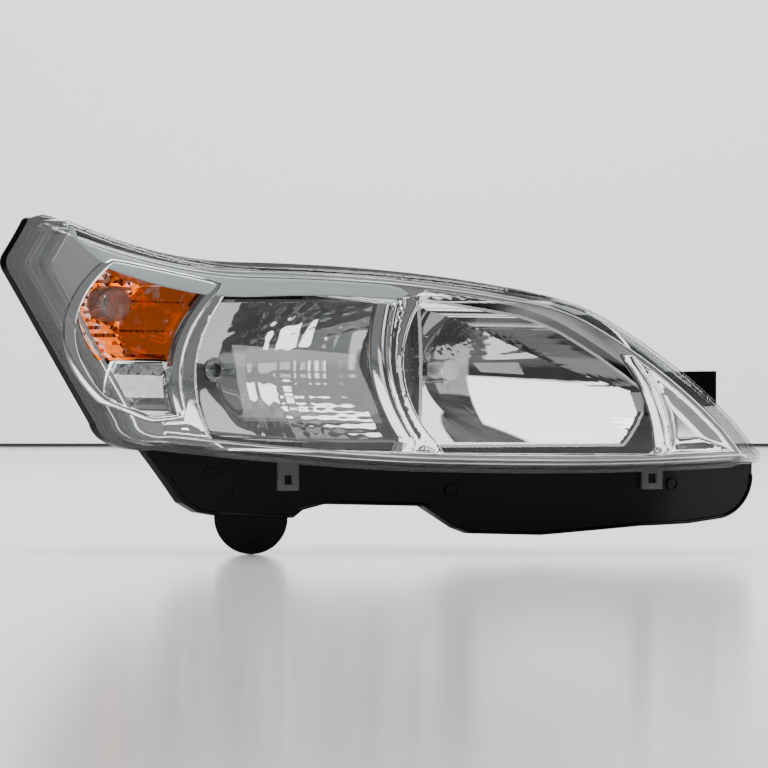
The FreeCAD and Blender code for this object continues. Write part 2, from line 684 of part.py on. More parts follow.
def round_bulb(label, seat, ball, stem, ball_front, length):
    """Capless or bayonet bulb glass: a ball on a stem, turned with a rounded front."""
    steps = 8
    centre = ball_front + ball
    points = []
    for i in range(steps + 1):
        turn = math.radians(-90 + i * 145 / steps)
        points.append(("%.4f" % (ball * math.cos(turn)), "%.4f" % (centre + ball * math.sin(turn))))
    points[0] = ("0", "%.4f" % ball_front)
    points += [("%.4f" % stem, "%.4f" % (centre + ball + 1.5)), ("%.4f" % stem, "%.4f" % length),
               ("0", "%.4f" % length)]
    return keep(turned(points, seat), label)


# ---- indicator and side lamp -------------------------------------------------------------------

def indicator():
    """Amber bayonet bulb in its turning holder, with a fluted clear cap in front."""
    seat = at(size("ind_u"), size("ind_w"), size("ind_z"), BACKWARDS)
    round_bulb("indicator_bulb_glass", seat, 11, 6.5, -22, 4.8)
    keep(turned([("0", "5"), ("7.5", "5"), ("7.5", "20"), ("0", "20")], seat),
         "indicator_bulb_base")
    wall = "pod_deep - ind_w"
    holder = turned([
        ("7.6", "9"), ("11", "9"), ("11", wall + " - 8"), ("15.5", wall + " - 6"),
        ("15.5", wall + " + seal_thick + gap"), ("21", wall + " + seal_thick + gap"),
        ("21", wall + " + seal_thick + 4"), ("0", wall + " + seal_thick + 4"), ("0", "20.1"),
        ("7.6", "20.1")], seat)
    back = size("pod_deep") + size("seal_thick") + 3.9
    grip = box("30", "8", "4", at(size("ind_u"), back, size("ind_z")))
    keep(fuse(holder, grip), "indicator_holder")
    keep(turned([("16", wall + " + 0.02"), ("20", wall + " + 0.02"),
                 ("20", wall + " + seal_thick"), ("16", wall + " + seal_thick")], seat),
         "indicator_holder_seal")
    front = "cap_front - ind_w"
    foot = "-(cap_radius * cap_radius) / (4 * ind_focal) - 0.1"
    keep(turned([
        ("0", front), ("cap_radius - 1", front), ("cap_radius", front + " + 1"),
        ("cap_radius", foot), ("cap_radius - cap_wall", foot),
        ("cap_radius - cap_wall", front + " + cap_wall"), ("0", front + " + cap_wall")], seat),
         "indicator_cap")


def side_lamp():
    """Capless side-lamp bulb in its turning holder."""
    seat = at(size("side_u"), size("side_w"), size("side_z"), BACKWARDS)
    round_bulb("side_lamp_bulb", seat, 4.8, 4.6, -17, 12)
    wall = "pod_back - side_w"
    holder = turned([
        ("4.7", "6"), ("6.2", "6"), ("6.2", wall + " - 8"), ("8.5", wall + " - 6"),
        ("8.5", wall + " + gap"), ("12", wall + " + gap"), ("12", wall + " + 3"),
        ("0", wall + " + 3"), ("0", "12.1"), ("4.7", "12.1")], seat)
    grip = box("16", "7", "3", at(size("side_u"), size("pod_back") + 2.9, size("side_z")))
    keep(fuse(holder, grip), "side_lamp_holder")


# ---- rear covers -------------------------------------------------------------------------------

def rear_cover(side, wall_cell):
    """Bayonet cover with three lugs behind the housing wall, a grip bar and a flat ring seal."""
    u, z, w = size(side + "_u"), size("bulb_z"), size(wall_cell)
    seat = at(u, w, z, BACKWARDS)
    face = "cover_neck + seal_thick"
    cap = turned([
        ("0", face), ("cover_hole - 3", face), ("cover_hole - 3", "-back_wall - 3.2"),
        ("cover_hole - 0.5", "-back_wall - 3.2"), ("cover_hole - 0.5", face),
        ("cover_hole + neck_wall + 0.5", face), ("cover_hole + neck_wall + 0.5", "3"),
        ("cover_rim", "3"), ("cover_rim", face + " + cover_disc - 1"),
        ("cover_rim - 1", face + " + cover_disc"), ("0", face + " + cover_disc")], seat)
    grip = box("grip_length", "grip_height", "grip_width",
               at(u, w + size("cover_neck") + size("seal_thick") + size("cover_disc") - 0.1, z))
    lugs = []
    for turn in (0, 120, 240):
        lug_box = box("10", "2.5", "lug_reach - cover_hole + 2",
                      at(u, w - size("back_wall") - 3, z))
        middle = (size("lug_reach") + size("cover_hole") - 2) / 2
        swing = Rotation(Vector(0, 1, 0), turn)
        corner = Vector(-5, 0, middle - lug_box.Height.Value / 2)
        lug_box.Placement = Placement(at(u, w - size("back_wall") - 3, z).Base
                                      + swing.multVec(corner), swing)
        lugs.append(lug_box)
    keep(fuse(cap, grip, *lugs), side + "_cover")
    keep(turned([("cover_hole + 0.3", "cover_neck + 0.02"),
                 ("cover_hole + neck_wall", "cover_neck + 0.02"),
                 ("cover_hole + neck_wall", face + " - 0.02"),
                 ("cover_hole + 0.3", face + " - 0.02")], seat), side + "_cover_seal")


# ---- aiming gear -------------------------------------------------------------------------------

def ball_stud(u, z, parts):
    """A ball with stepped shanks behind it, each (radius, from w, to w)."""
    pieces = [sphere("ball_radius", at(u, size("pivot_w"), z))]
    for radius, front, back in parts:
        pieces.append(cylinder(radius, str(back - front), at(u, front, z, BACKWARDS)))
    return fuse(*pieces)


def pivot():
    """Fixed ball stud, and the barrel-shaped socket that carries the carrier."""
    u, w, z, near = size("pivot_u"), size("pivot_w"), size("pivot_z"), size("back_near")
    keep(ball_stud(u, z, [("stud_radius", w, near + 4), ("7", near + 0.02, near + 4),
                          ("7", near - 7, near - 3.02)]), "pivot_ball_stud")
    length = size("socket_length")
    barrel_part = cylinder("socket_radius", "socket_length", at(u - length / 2, w, z, ACROSS))
    cavity = sphere("ball_radius + pivot_clear", at(u, w, z))
    mouth = cylinder("ball_radius - 0.5", "20", at(u, w, z, BACKWARDS))
    grease_hole = cylinder("1.5", "20", at(u, w, z - 10))
    keep(cut(barrel_part, cavity, mouth, grease_hole), "pivot_socket")


def socket_cup(label, u, z):
    """Snap-in cup on the carrier for the ball of an adjuster."""
    back = size("plate_front") + size("plate_thick")
    cup = turned([("0", "0.02"), ("cup_radius", "0.02"), ("cup_radius", "12"), ("0", "12")],
                 at(u, back, z, BACKWARDS))
    cavity = sphere("ball_radius + level_clear", at(u, size("pivot_w"), z))
    mouth = cylinder("ball_radius - 0.1", "20", at(u, size("pivot_w"), z, BACKWARDS))
    keep(cut(cup, cavity, mouth), label)


def carrier_frame(posts):
    """Plate that joins both reflectors and hangs on the pivot and the two adjusters."""
    front, thick = size("plate_front"), size("plate_thick")
    corners = [(13, 86), (165, 86), (165, 112), (142, 196), (122, 216), (13, 216), (13, 197),
               (34, 187), (34, 121), (13, 111)]
    plate = Part.Face(Part.makePolygon([Vector(u, front, z) for u, z in corners + corners[:1]]))
    plate = plate.extrude(Vector(0, thick, 0)).common(column(grown(LENS, -size("plate_inset"))))
    u, w, z = size("pivot_u"), size("pivot_w"), size("pivot_z")
    half = size("socket_length") / 2
    plate = plate.fuse(block((u - half, u + half), (front, w + 9), (z - 11, z + 11)))
    socket = Part.makeCylinder(size("socket_radius") + size("gap"), 60, Vector(u - 30, w, z),
                               Vector(1, 0, 0))
    cuts = [socket, rod(u, z, 5.5, w, w + 20), rod(size("high_u"), size("bulb_z"), 23, 100, 140)]
    cuts += [rod(post_u, post_z, size("post_bore"), 100, 140) for post_u, post_z in posts]
    return moulded("carrier_frame", plate.cut(cuts))


def carrier_screws(posts):
    back = size("plate_front") + size("plate_thick")
    screws = []
    for u, z in posts:
        head = rod(u, z, size("screw_head"), back + 0.02, back + 2.6)
        screws.append(head.fuse(rod(u, z, size("screw_radius"), back - 12, back + 1)))
    return moulded("carrier_screws", Part.makeCompound(screws))


def level_motor():
    """Levelling motor on the back wall: case, cover, stator, rotor with its wheel, and spindle."""
    u, z, near = size("pivot_u"), size("level_z"), size("back_near")
    seat = at(u, near, z, BACKWARDS)
    keep(turned([
        ("shank_radius + 0.4", "-8"), ("spigot_radius", "-8"), ("spigot_radius", "0.3"),
        ("motor_radius", "0.3"), ("motor_radius", "motor_length - 4"),
        ("motor_radius - motor_wall", "motor_length - 4"),
        ("motor_radius - motor_wall", "4"), ("shank_radius + 0.4", "4")], seat), "motor_case")
    keep(turned([
        ("3.6", "motor_length - 3.9"), ("motor_radius", "motor_length - 3.9"),
        ("motor_radius", "motor_length - 1"), ("motor_radius - 1", "motor_length"),
        ("3.6", "motor_length")], seat), "motor_cover")
    keep(turned([("rotor_radius + 0.5", "6"), ("motor_radius - motor_wall - gap", "6"),
                 ("motor_radius - motor_wall - gap", "24"), ("rotor_radius + 0.5", "24")], seat),
         "motor_stator")
    keep(turned([
        ("shank_radius + 0.1", "5"), ("rotor_radius", "5"), ("rotor_radius", "25"),
        ("8", "28"), ("8", "34"), ("3.3", "34"), ("3.3", "motor_length + 1"),
        ("0", "motor_length + 1"), ("0", "31"), ("shank_radius + 0.1", "31")], seat),
         "motor_rotor")
    wheel = turned([("0", "motor_length + 1.1"), ("thumb_radius", "motor_length + 1.1"),
                    ("thumb_radius", "motor_length + 1 + thumb_length"),
                    ("0", "motor_length + 1 + thumb_length")], seat)
    keep(notches(wheel, "thumb_radius + 0.6", "1.6", 12, "motor_length + thumb_length + 5"),
         "level_thumbwheel")
    keep(ball_stud(u, z, [("stud_radius", size("pivot_w"), near - 15),
                          ("shank_radius", near - 15, near + 24)]), "level_spindle")


def aim_adjuster():
    """Nylon bush in the back wall, sliding screw with its ball, and the knob that turns on it."""
    u, z, near = size("aim_u"), size("pivot_z"), size("back_near")
    seat = at(u, near, z, BACKWARDS)
    keep(turned([
        ("aim_shank + 0.1", "-12"), ("6.8", "-12"), ("6.8", "0.02"), ("bush_radius", "0.02"),
        ("bush_radius", "5"), ("aim_shank + 0.1", "5")], seat), "aim_adjuster_bush")
    knob = turned([
        ("0", "5.2 + knob_length"), ("knob_radius", "5.2 + knob_length"), ("knob_radius", "5.2"),
        ("aim_shank + 0.3", "5.2"), ("aim_shank + 0.3", "2 + knob_length"),
        ("0", "2 + knob_length")], seat)
    keep(notches(knob, "knob_radius + 0.6", "1.8", 10, "knob_length + 10"), "aim_knob")
    keep(ball_stud(u, z, [("stud_radius", size("pivot_w"), near - 16),
                          ("aim_shank", near - 16, near + 8)]), "aim_screw")


# ---- small fittings ----------------------------------------------------------------------------

def fixing_sleeves():
    sleeves = []
    for side in ("in", "out"):
        u, w, z = (size("fix_%s_%s" % (side, axis)) for axis in "uwz")
        front, back = w - size("fix_length") / 2, w + size("fix_length") / 2
        tube = rod(u, z, size("fix_sleeve"), front, back)
        sleeves.append(tube.cut(rod(u, z, size("fix_bore"), front - 1, back + 1)))
    return moulded("fixing_sleeves", Part.makeCompound(sleeves))


def vent_caps():
    caps = []
    for u, z, w in ((30, 122, size("back_near")), (-10, 225, size("back_deep"))):
        cap = rod(u, z, size("vent_radius"), w + 0.02, w + 6).fuse(rod(u, z, 3.4, w - 5, w + 1))
        caps.append(cap.cut(rod(u, z, 2.2, w - 6, w + 4)))
    return moulded("vent_caps", Part.makeCompound(caps))


def main_connector():
    """Multi-way connector shroud on the back wall with its blade pins."""
    u, z, deep = size("plug_u"), size("plug_z"), size("back_deep")
    wide, high = size("connector_width") / 2, size("connector_height") / 2
    shroud = block((u - wide, u + wide), (deep + 0.02, deep + 18), (z - high, z + high))
    shroud = shroud.cut(block((u - wide + 2, u + wide - 2), (deep + 4, deep + 19),
                              (z - high + 2, z + high - 2)))
    plug = block((u - wide + 3.2, u + wide - 3.2), (deep - 8, deep + 1),
                 (z - high + 3.2, z + high - 3.2))
    return moulded("main_connector", shroud.fuse(plug))


def connector_pins():
    u, z, deep = size("plug_u"), size("plug_z"), size("back_deep")
    pins = []
    for i in range(5):
        for row in (-3, 3):
            across = u + (i - 2) * 5
            pins.append(block((across - 1, across + 1), (deep + 4.02, deep + 15),
                              (z + row - 0.4, z + row + 0.4)))
    return moulded("connector_pins", Part.makeCompound(pins))


def wiring_loom():
    """Loom from the connector to a junction block, run along the inside of the back wall."""
    u, z, deep, radius = size("plug_u"), size("plug_z"), size("back_deep"), size("loom_radius")
    w = deep - size("back_wall") - radius - 6
    elbow = Vector(u, w, z)
    lead = rod_between(elbow, Vector(u, deep - 8.02, z), radius)
    run = rod_between(elbow, Vector(u + 34, w, z - 2), radius)
    junction = block((u + 32, u + 48), (w - 5, w + 5), (z - 9, z + 3))
    return moulded("wiring_loom", lead.fuse([Part.makeSphere(radius, elbow), run, junction]))


# ---- the whole lamp ----------------------------------------------------------------------------

def carrier_posts():
    """Where the low and the high reflector are screwed to the carrier."""
    low = [(20, 206), (20, 102)]
    ring_radius = 32
    high = [(size("high_u") + ring_radius * math.cos(math.radians(turn)),
             size("bulb_z") + ring_radius * math.sin(math.radians(turn))) for turn in (90, 210, 330)]
    return low, high


def build():
    low_posts, high_posts = carrier_posts()
    housing()
    outer_lens()
    lens_seal()
    bezel_frame()
    chrome_trim()
    main_bowl("low_beam_reflector", "low", low_posts)
    main_bowl("high_beam_reflector", "high", high_posts)
    pod_reflector("indicator_reflector", "ind", size("ind_focal"), size("pod_split"), 250)
    pod_reflector("side_lamp_reflector", "side", 14, 110, size("pod_split") - 1)
    carrier_frame(low_posts + high_posts)
    carrier_screws(low_posts + high_posts)
    for side in ("low", "high"):
        bulb(side)
        bulb_clip(side)
    bulb_shield("high", 2.3)
    indicator()
    side_lamp()
    rear_cover("low", "back_deep")
    rear_cover("high", "back_near")
    pivot()
    socket_cup("level_socket", size("pivot_u"), size("level_z"))
    socket_cup("aim_socket", size("aim_u"), size("pivot_z"))
    level_motor()
    aim_adjuster()
    fixing_sleeves()
    vent_caps()
    main_connector()
    connector_pins()
    wiring_loom()


def check_and_export():
    doc.recompute()
    for obj in doc.Objects:
        if "Invalid" in obj.State or "Error" in obj.State:
            raise RuntimeError("%s (%s) failed: %s" % (obj.Name, obj.Label, obj.State))
    for node in NODES:
        if node.Shape.isNull() or not node.Shape.isValid():
            raise RuntimeError("%s has no valid shape" % node.Label)
    os.makedirs("parts", exist_ok=True)
    for node in NODES:
        node.Shape.exportStep("parts/%s.step" % node.Label)


build()
check_and_export()
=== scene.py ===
import json
import math

import bmesh
import bpy
import numpy as np
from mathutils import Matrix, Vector
from mathutils.geometry import delaunay_2d_cdt
from mathutils.kdtree import KDTree


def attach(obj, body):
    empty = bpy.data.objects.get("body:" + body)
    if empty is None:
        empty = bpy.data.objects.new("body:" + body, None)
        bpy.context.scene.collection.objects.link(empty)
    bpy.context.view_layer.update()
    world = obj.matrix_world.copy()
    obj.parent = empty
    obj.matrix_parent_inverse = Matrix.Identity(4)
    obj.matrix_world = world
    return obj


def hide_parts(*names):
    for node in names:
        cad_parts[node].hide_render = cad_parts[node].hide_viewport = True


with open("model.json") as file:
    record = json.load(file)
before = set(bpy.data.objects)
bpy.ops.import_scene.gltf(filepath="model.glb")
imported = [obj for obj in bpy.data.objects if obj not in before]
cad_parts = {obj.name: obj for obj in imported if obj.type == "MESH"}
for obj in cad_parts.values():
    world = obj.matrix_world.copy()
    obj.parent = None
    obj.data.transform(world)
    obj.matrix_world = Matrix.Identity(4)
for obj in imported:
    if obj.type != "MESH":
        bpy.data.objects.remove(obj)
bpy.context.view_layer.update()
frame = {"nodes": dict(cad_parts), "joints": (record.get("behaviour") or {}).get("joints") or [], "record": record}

# Lengths below are in millimetres from the crown of the lens: u inboard, w backwards, z up.
# The fixed ball of the aiming gear says where the crown is in the frame.
MM = 0.001
PIVOT_FROM_CROWN = Vector((50, 135, 95)) * MM
joints = {joint["name"]: joint for joint in frame["joints"]}
CROWN = Vector(joints["horizontal_aim"]["pos_m"]) - PIVOT_FROM_CROWN
SWEEP = math.radians(38)
DOME = 640
CROWN_HEIGHT = 150
BULB_HEIGHT = 154


def place(u, w, z):
    """A point in the frame, in metres."""
    return CROWN + Vector((u, w, z)) * MM


def dome(depth):
    """The lens surface moved back by a depth: w at every u and z."""
    centre_u, centre_w = DOME * math.sin(SWEEP), DOME * math.cos(SWEEP) + depth

    def back(u, z):
        return centre_w - math.sqrt(DOME ** 2 - (u - centre_u) ** 2 - (z - CROWN_HEIGHT) ** 2)
    return back


def chord_point(station, z):
    """(u, z) of the lens point at a distance along the lens's chord."""
    dip = DOME - math.sqrt(DOME ** 2 - station ** 2 - (z - CROWN_HEIGHT) ** 2)
    return station * math.cos(SWEEP) + dip * math.sin(SWEEP), z


# ---- outlines ----------------------------------------------------------------------------------

def line(a, b, step):
    """Points from a to b, without b."""
    count = max(1, round(math.dist(a, b) / step))
    return [(a[0] + (b[0] - a[0]) * i / count, a[1] + (b[1] - a[1]) * i / count)
            for i in range(count)]


def arc(a, b, c, step):
    """Points from a to c, without c, on the circle through a, b and c."""
    ax, ay, bx, by, cx, cy = *a, *b, *c
    twice = 2 * (ax * (by - cy) + bx * (cy - ay) + cx * (ay - by))
    sa, sb, sc = ax * ax + ay * ay, bx * bx + by * by, cx * cx + cy * cy
    ox = (sa * (by - cy) + sb * (cy - ay) + sc * (ay - by)) / twice
    oy = (sa * (cx - bx) + sb * (ax - cx) + sc * (bx - ax)) / twice
    radius = math.hypot(ax - ox, ay - oy)
    start, middle, end = (math.atan2(y - oy, x - ox) for x, y in (a, b, c))
    turn = (end - start) % (2 * math.pi)
    if (middle - start) % (2 * math.pi) > turn:
        turn -= 2 * math.pi
    count = max(4, round(abs(turn) * radius / step), round(abs(turn) / 0.16))
    return [(ox + radius * math.cos(start + turn * i / count),
             oy + radius * math.sin(start + turn * i / count)) for i in range(count)]


def anticlockwise(loop):
    """The loop, turned round if it runs clockwise."""
    area = sum(a[0] * b[1] - b[0] * a[1] for a, b in zip(loop, loop[1:] + loop[:1]))
    return loop if area > 0 else loop[::-1]


def outline(runs, step=3.0):
    """A closed loop of (u, z) points from runs of chord stations and heights.

    Two make a line, and three an arc.
    """
    points = []
    for run in runs:
        spots = [chord_point(*p) for p in run]
        points += arc(*spots, step) if len(spots) == 3 else line(*spots, step)
    return anticlockwise(points)


def polyline(points, step):
    """A closed loop through the points, with more points between them."""
    loop = []
    for a, b in zip(points, points[1:] + points[:1]):
        loop += line(a, b, step)
    return anticlockwise(loop)


def inset(loop, by):
    """The loop moved inwards, which is to the left of an anticlockwise loop."""
    moved = []
    for i, (x, y) in enumerate(loop):
        before, after = loop[i - 1], loop[(i + 1) % len(loop)]
        tx, ty = after[0] - before[0], after[1] - before[1]
        size = math.hypot(tx, ty) or 1
        moved.append((x - ty / size * by, y + tx / size * by))
    return moved


def inside(points, loop):
    """Which of the points lie inside a loop."""
    x, y = points[:, 0], points[:, 1]
    hit = np.zeros(len(points), bool)
    for (ax, ay), (bx, by) in zip(loop, loop[1:] + loop[:1]):
        if ay != by:
            hit ^= ((ay > y) != (by > y)) & (x < (bx - ax) * (y - ay) / (by - ay) + ax)
    return hit


def clip(loop, axis, limit, side):
    """The part of a loop where side * (coordinate - limit) is positive."""
    kept = []
    for a, b in zip(loop, loop[1:] + loop[:1]):
        fa, fb = side * (a[axis] - limit), side * (b[axis] - limit)
        if fa >= 0:
            kept.append(a)
        if fa * fb < 0:
            share = fa / (fa - fb)
            kept.append((a[0] + (b[0] - a[0]) * share, a[1] + (b[1] - a[1]) * share))
    return kept


def circle(u, z, radius, count=48):
    """A round anticlockwise loop."""
    return [(u + radius * math.cos(2 * math.pi * i / count),
             z + radius * math.sin(2 * math.pi * i / count)) for i in range(count)]


def distance_to(points):
    """A function for the distance from any (u, z) to the nearest of the points."""
    tree = KDTree(len(points))
    for i, (u, z) in enumerate(points):
        tree.insert((u, z, 0), i)
    tree.balance()
    return lambda u, z: tree.find((u, z, 0))[2]


def edge_distance(loops):
    """A function for the distance from any (u, z) to the nearest of the loops."""
    return distance_to([p for loop in loops for a, b in zip(loop, loop[1:] + loop[:1])
                        for p in line(a, b, 0.7)])


LENS = outline([
    ((-264, 281), (-195, 256.5), (-103, 241.5)), ((-103, 241.5), (13, 235.5), (122, 220.5)),
    ((122, 220.5), (155, 213), (183, 201)), ((183, 201), (244, 160), (299, 109)),
    ((299, 109), (315, 88)), ((315, 88), (319, 79.5), (313, 75.5)),
    ((313, 75.5), (171, 72), (38, 74.5)), ((38, 74.5), (-79, 82.5), (-171, 91.5)),
    ((-171, 91.5), (-203, 97), (-213, 110)), ((-213, 110), (-250, 175), (-286, 238)),
    ((-286, 238), (-288, 244), (-286.5, 250)), ((-286.5, 250), (-271, 277)),
    ((-271, 277), (-268.5, 280), (-264, 281)),
])
LOW_WINDOW = outline([
    ((-134, 97), (-147, 158), (-116, 227)), ((-116, 227), (17, 211)),
    ((17, 211), (12, 166), (35, 97)), ((35, 97), (31, 87)), ((31, 87), (-124, 90)),
    ((-124, 90), (-134, 97)),
])
HIGH_WINDOW = outline([
    ((52, 97), (26, 160), (40, 211)), ((40, 211), (148, 211)), ((148, 211), (192, 195), (222, 160)),
    ((222, 160), (240, 126), (247, 92)), ((247, 92), (246, 86), (240, 84)),
    ((240, 84), (60, 86)), ((60, 86), (52, 97)),
])
POD_WINDOW = outline([
    ((-223.5, 131), (-251, 186), (-219, 244)), ((-219, 244), (-134, 226)),
    ((-134, 226), (-165, 178), (-165, 118)), ((-165, 118), (-186, 116)),
    ((-186, 116), (-223.5, 131)),
])
CHROME_EDGE = outline([
    ((-176, 40), (-176, 118)), ((-176, 118), (-178, 185)), ((-178, 185), (-146, 224)),
    ((-146, 224), (-138, 232)), ((-138, 232), (34, 217)), ((34, 217), (46, 223)),
    ((46, 223), (50, 260)), ((50, 260), (345, 260)), ((345, 260), (345, 40)),
    ((345, 40), (-176, 40)),
])
SKIRT = outline([
    ((-180, 92), (-145, 43.3)), ((-145, 43.3), (-131, 35)), ((-131, 35), (-116, 32.5)),
    ((-116, 32.5), (-51.5, 30.8)), ((-51.5, 30.8), (-43.5, 37.5)), ((-43.5, 37.5), (-25, 42.5)),
    ((-25, 42.5), (58, 40.8)), ((58, 40.8), (85.5, 22.5)), ((85.5, 22.5), (98, 17.5)),
    ((98, 17.5), (156.5, 15.8)), ((156.5, 15.8), (239.5, 22.5)), ((239.5, 22.5), (281.5, 24)),
    ((281.5, 24), (306.5, 27.5)), ((306.5, 27.5), (328, 39), (337, 62)), ((337, 62), (337, 76)),
    ((337, 76), (-180, 92)),
])


# ---- meshes ------------------------------------------------------------------------------------

THINNEST = 0.01 * MM


class Shell:
    """Collects vertices and faces, and makes one clean object of them."""

    def __init__(self):
        self.points = []
        self.faces = []

    def add(self, points):
        """Adds vertices, and gives their numbers."""
        start = len(self.points)
        self.points += points
        return list(range(start, len(self.points)))

    def ring(self, loop, back):
        """Vertices along a (u, z) loop, each as far back as a surface is there."""
        return self.add([place(u, back(u, z), z) for u, z in loop])

    def hoop(self, u, z, radius, w, count=48):
        """Vertices on an upright circle that faces forwards."""
        return self.add([place(at_u, w, at_z) for at_u, at_z in circle(u, z, radius, count)])

    def bridge(self, first, second):
        """Faces between two rings of as many vertices."""
        count = len(first)
        for i in range(count):
            after = (i + 1) % count
            self.faces.append((first[i], first[after], second[after], second[i]))

    def rings(self, rings, closed=True):
        """Faces between rings in turn, and from the last to the first if closed."""
        for first, second in zip(rings, rings[1:] + (rings[:1] if closed else [])):
            self.bridge(first, second)

    def patch(self, loops, back, spacing, rows=()):
        """A skin over the region between loops."""
        verts, faces = cover(loops, even_odd(loops), spacing, rows=rows)
        ids = self.add([place(u, back(u, z), z) for u, z in verts])
        self.faces += [tuple(ids[i] for i in face) for face in faces]

    def sheet(self, loops, front, back, spacing, member=None, echoes=()):
        """A closed plate between two surfaces over the region between loops."""
        verts, faces = cover(loops, member or even_odd(loops), spacing, echoes=echoes)
        near = self.add([place(u, front(u, z), z) for u, z in verts])
        far = self.add([place(u, back(u, z), z) for u, z in verts])
        self.plate(near, far, faces)

    def plate(self, near, far, faces):
        """Faces on both sides of a plate, and round its borders."""
        used = {}
        for face in faces:
            self.faces.append(tuple(near[i] for i in face))
            self.faces.append(tuple(far[i] for i in reversed(face)))
            for a, b in zip(face, face[1:] + face[:1]):
                used[(a, b)] = True
        for a, b in used:
            if (b, a) not in used:
                self.faces.append((near[a], far[a], far[b], near[b]))

    def box(self, inner, outer, face, lip, behind):
        """Walls from a bowl's face forward to a lip and back outside to behind the bowl."""
        self.rings([self.ring(inner, face), self.ring(inner, lip), self.ring(outer, lip),
                    self.ring(outer, behind), self.ring(inner, behind)], closed=False)

    def build(self, name, slot, body, *nodes, angle=35):
        """The object, smooth up to edges sharper than an angle, riding on a body."""
        mesh = bpy.data.meshes.new(name)
        mesh.from_pydata(self.points, [], self.faces)
        work = bmesh.new()
        work.from_mesh(mesh)
        bmesh.ops.remove_doubles(work, verts=work.verts, dist=2 * THINNEST)
        bmesh.ops.dissolve_degenerate(work, dist=THINNEST, edges=work.edges)
        loose = [vert for vert in work.verts if not vert.link_faces]
        bmesh.ops.delete(work, geom=loose, context="VERTS")
        bmesh.ops.recalc_face_normals(work, faces=work.faces)
        work.to_mesh(mesh)
        work.free()
        obj = bpy.data.objects.new(name, mesh)
        bpy.context.scene.collection.objects.link(obj)
        mesh.materials.append(MATERIALS[slot])
        mesh.shade_smooth()
        mesh.set_sharp_from_angle(angle=math.radians(angle))
        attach(obj, body)
        if nodes:
            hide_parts(*nodes)
        return obj


def even_odd(loops):
    """A test of which points lie inside an odd number of the loops."""
    def member(points):
        hit = np.zeros(len(points), bool)
        for loop in loops:
            hit ^= inside(points, loop)
        return hit
    return member


def triangles(loops, member, extra):
    """Vertices and triangles over the region between loops, with extra vertices in it."""
    edges = []
    start = 0
    for loop in loops:
        edges += [(start + i, start + (i + 1) % len(loop)) for i in range(len(loop))]
        start += len(loop)
    verts = [Vector(p) for loop in loops for p in loop] + [Vector(p) for p in extra]
    verts, _, faces, _, _, _ = delaunay_2d_cdt(verts, edges, [], 0, 1e-5)
    kept = member(np.array([np.mean([verts[i] for i in face], axis=0) for face in faces]))
    return [tuple(v) for v in verts], [tuple(face) for face, keep in zip(faces, kept) if keep]


def cover(loops, member, spacing, rows=(), echoes=()):
    """Triangles over a region: its loops with their echoes, a grid, and rows at given heights."""
    border = [p for loop in loops for p in loop]
    beside = [p for loop in loops for by in echoes for side in (by, -by)
              for p in inset(loop, side)]
    if beside:
        beside = [p for p, keep in zip(beside, member(np.array(beside))) if keep]
    nearest = distance_to(border + beside)
    us, zs = [p[0] for p in border], [p[1] for p in border]
    columns = np.arange(min(us) + spacing / 3, max(us), spacing)
    heights = np.arange(min(zs) + spacing / 3, max(zs), spacing)
    heights = [h for h in heights if all(abs(h - row) > spacing / 2 for row in rows)] + list(rows)
    grid = np.array([(u, z) for z in heights for u in columns])
    grid = grid[member(grid)]
    free = [tuple(p) for p in grid if nearest(*p) > spacing * 0.55]
    return triangles(loops, member, beside + free)


# ---- materials ---------------------------------------------------------------------------------

MATERIALS = {}


class Nodes:
    """Short calls for building one material's node tree."""

    def __init__(self, name):
        self.name = name
        self.material = bpy.data.materials.new(name)
        self.material.use_nodes = True
        self.tree = self.material.node_tree
        self.tree.nodes.clear()
        self.out = self.add("ShaderNodeOutputMaterial")
        self.place = self.add("ShaderNodeTexCoord").outputs["Object"]

    def add(self, kind, **values):
        node = self.tree.nodes.new(kind)
        for key, value in values.items():
            if key in node.inputs:
                self.feed(node.inputs[key], value)
            else:
                setattr(node, key, value)
        return node

    def feed(self, socket, value):
        if isinstance(value, bpy.types.NodeSocket):
            self.tree.links.new(value, socket)
        else:
            socket.default_value = value

    def noise(self, scale, detail=3.0, stretch=(1, 1, 1)):
        mapping = self.add("ShaderNodeMapping", Vector=self.place)
        mapping.inputs["Scale"].default_value = stretch
        return self.add("ShaderNodeTexNoise", Vector=mapping.outputs[0], Scale=scale,
                        Detail=detail).outputs["Fac"]

    def ramp(self, value, low, high, start=0.0, end=1.0):
        node = self.add("ShaderNodeMapRange")
        self.feed(node.inputs["Value"], value)
        for key, number in (("From Min", start), ("From Max", end),
                            ("To Min", low), ("To Max", high)):
            node.inputs[key].default_value = number
        return node.outputs["Result"]

    def math(self, operation, a, b=0.0):
        node = self.add("ShaderNodeMath", operation=operation)
        self.feed(node.inputs[0], a)
        self.feed(node.inputs[1], b)
        return node.outputs[0]

    def mix(self, factor, a, b):
        node = self.add("ShaderNodeMix", data_type="RGBA")
        self.feed(node.inputs[0], factor)
        self.feed(node.inputs[6], a)
        self.feed(node.inputs[7], b)
        return node.outputs[2]

    def blend(self, factor, a, b):
        node = self.add("ShaderNodeMixShader")
        self.feed(node.inputs[0], factor)
        self.feed(node.inputs[1], a)
        self.feed(node.inputs[2], b)
        return node.outputs[0]

    def bump(self, height, strength, distance):
        return self.add("ShaderNodeBump", Height=height, Strength=strength,
                        Distance=distance).outputs[0]

    def surface(self, shader):
        self.tree.links.new(shader, self.out.inputs["Surface"])
        MATERIALS[self.name] = self.material


def rgba(color):
    """An opaque colour from three channels or one grey."""
    if isinstance(color, (int, float)):
        color = (color,) * 3
    return (*color[:3], 1.0)


def shade(color, factor):
    """The colour, lighter or darker by a factor."""
    return rgba([channel * factor for channel in rgba(color)[:3]])


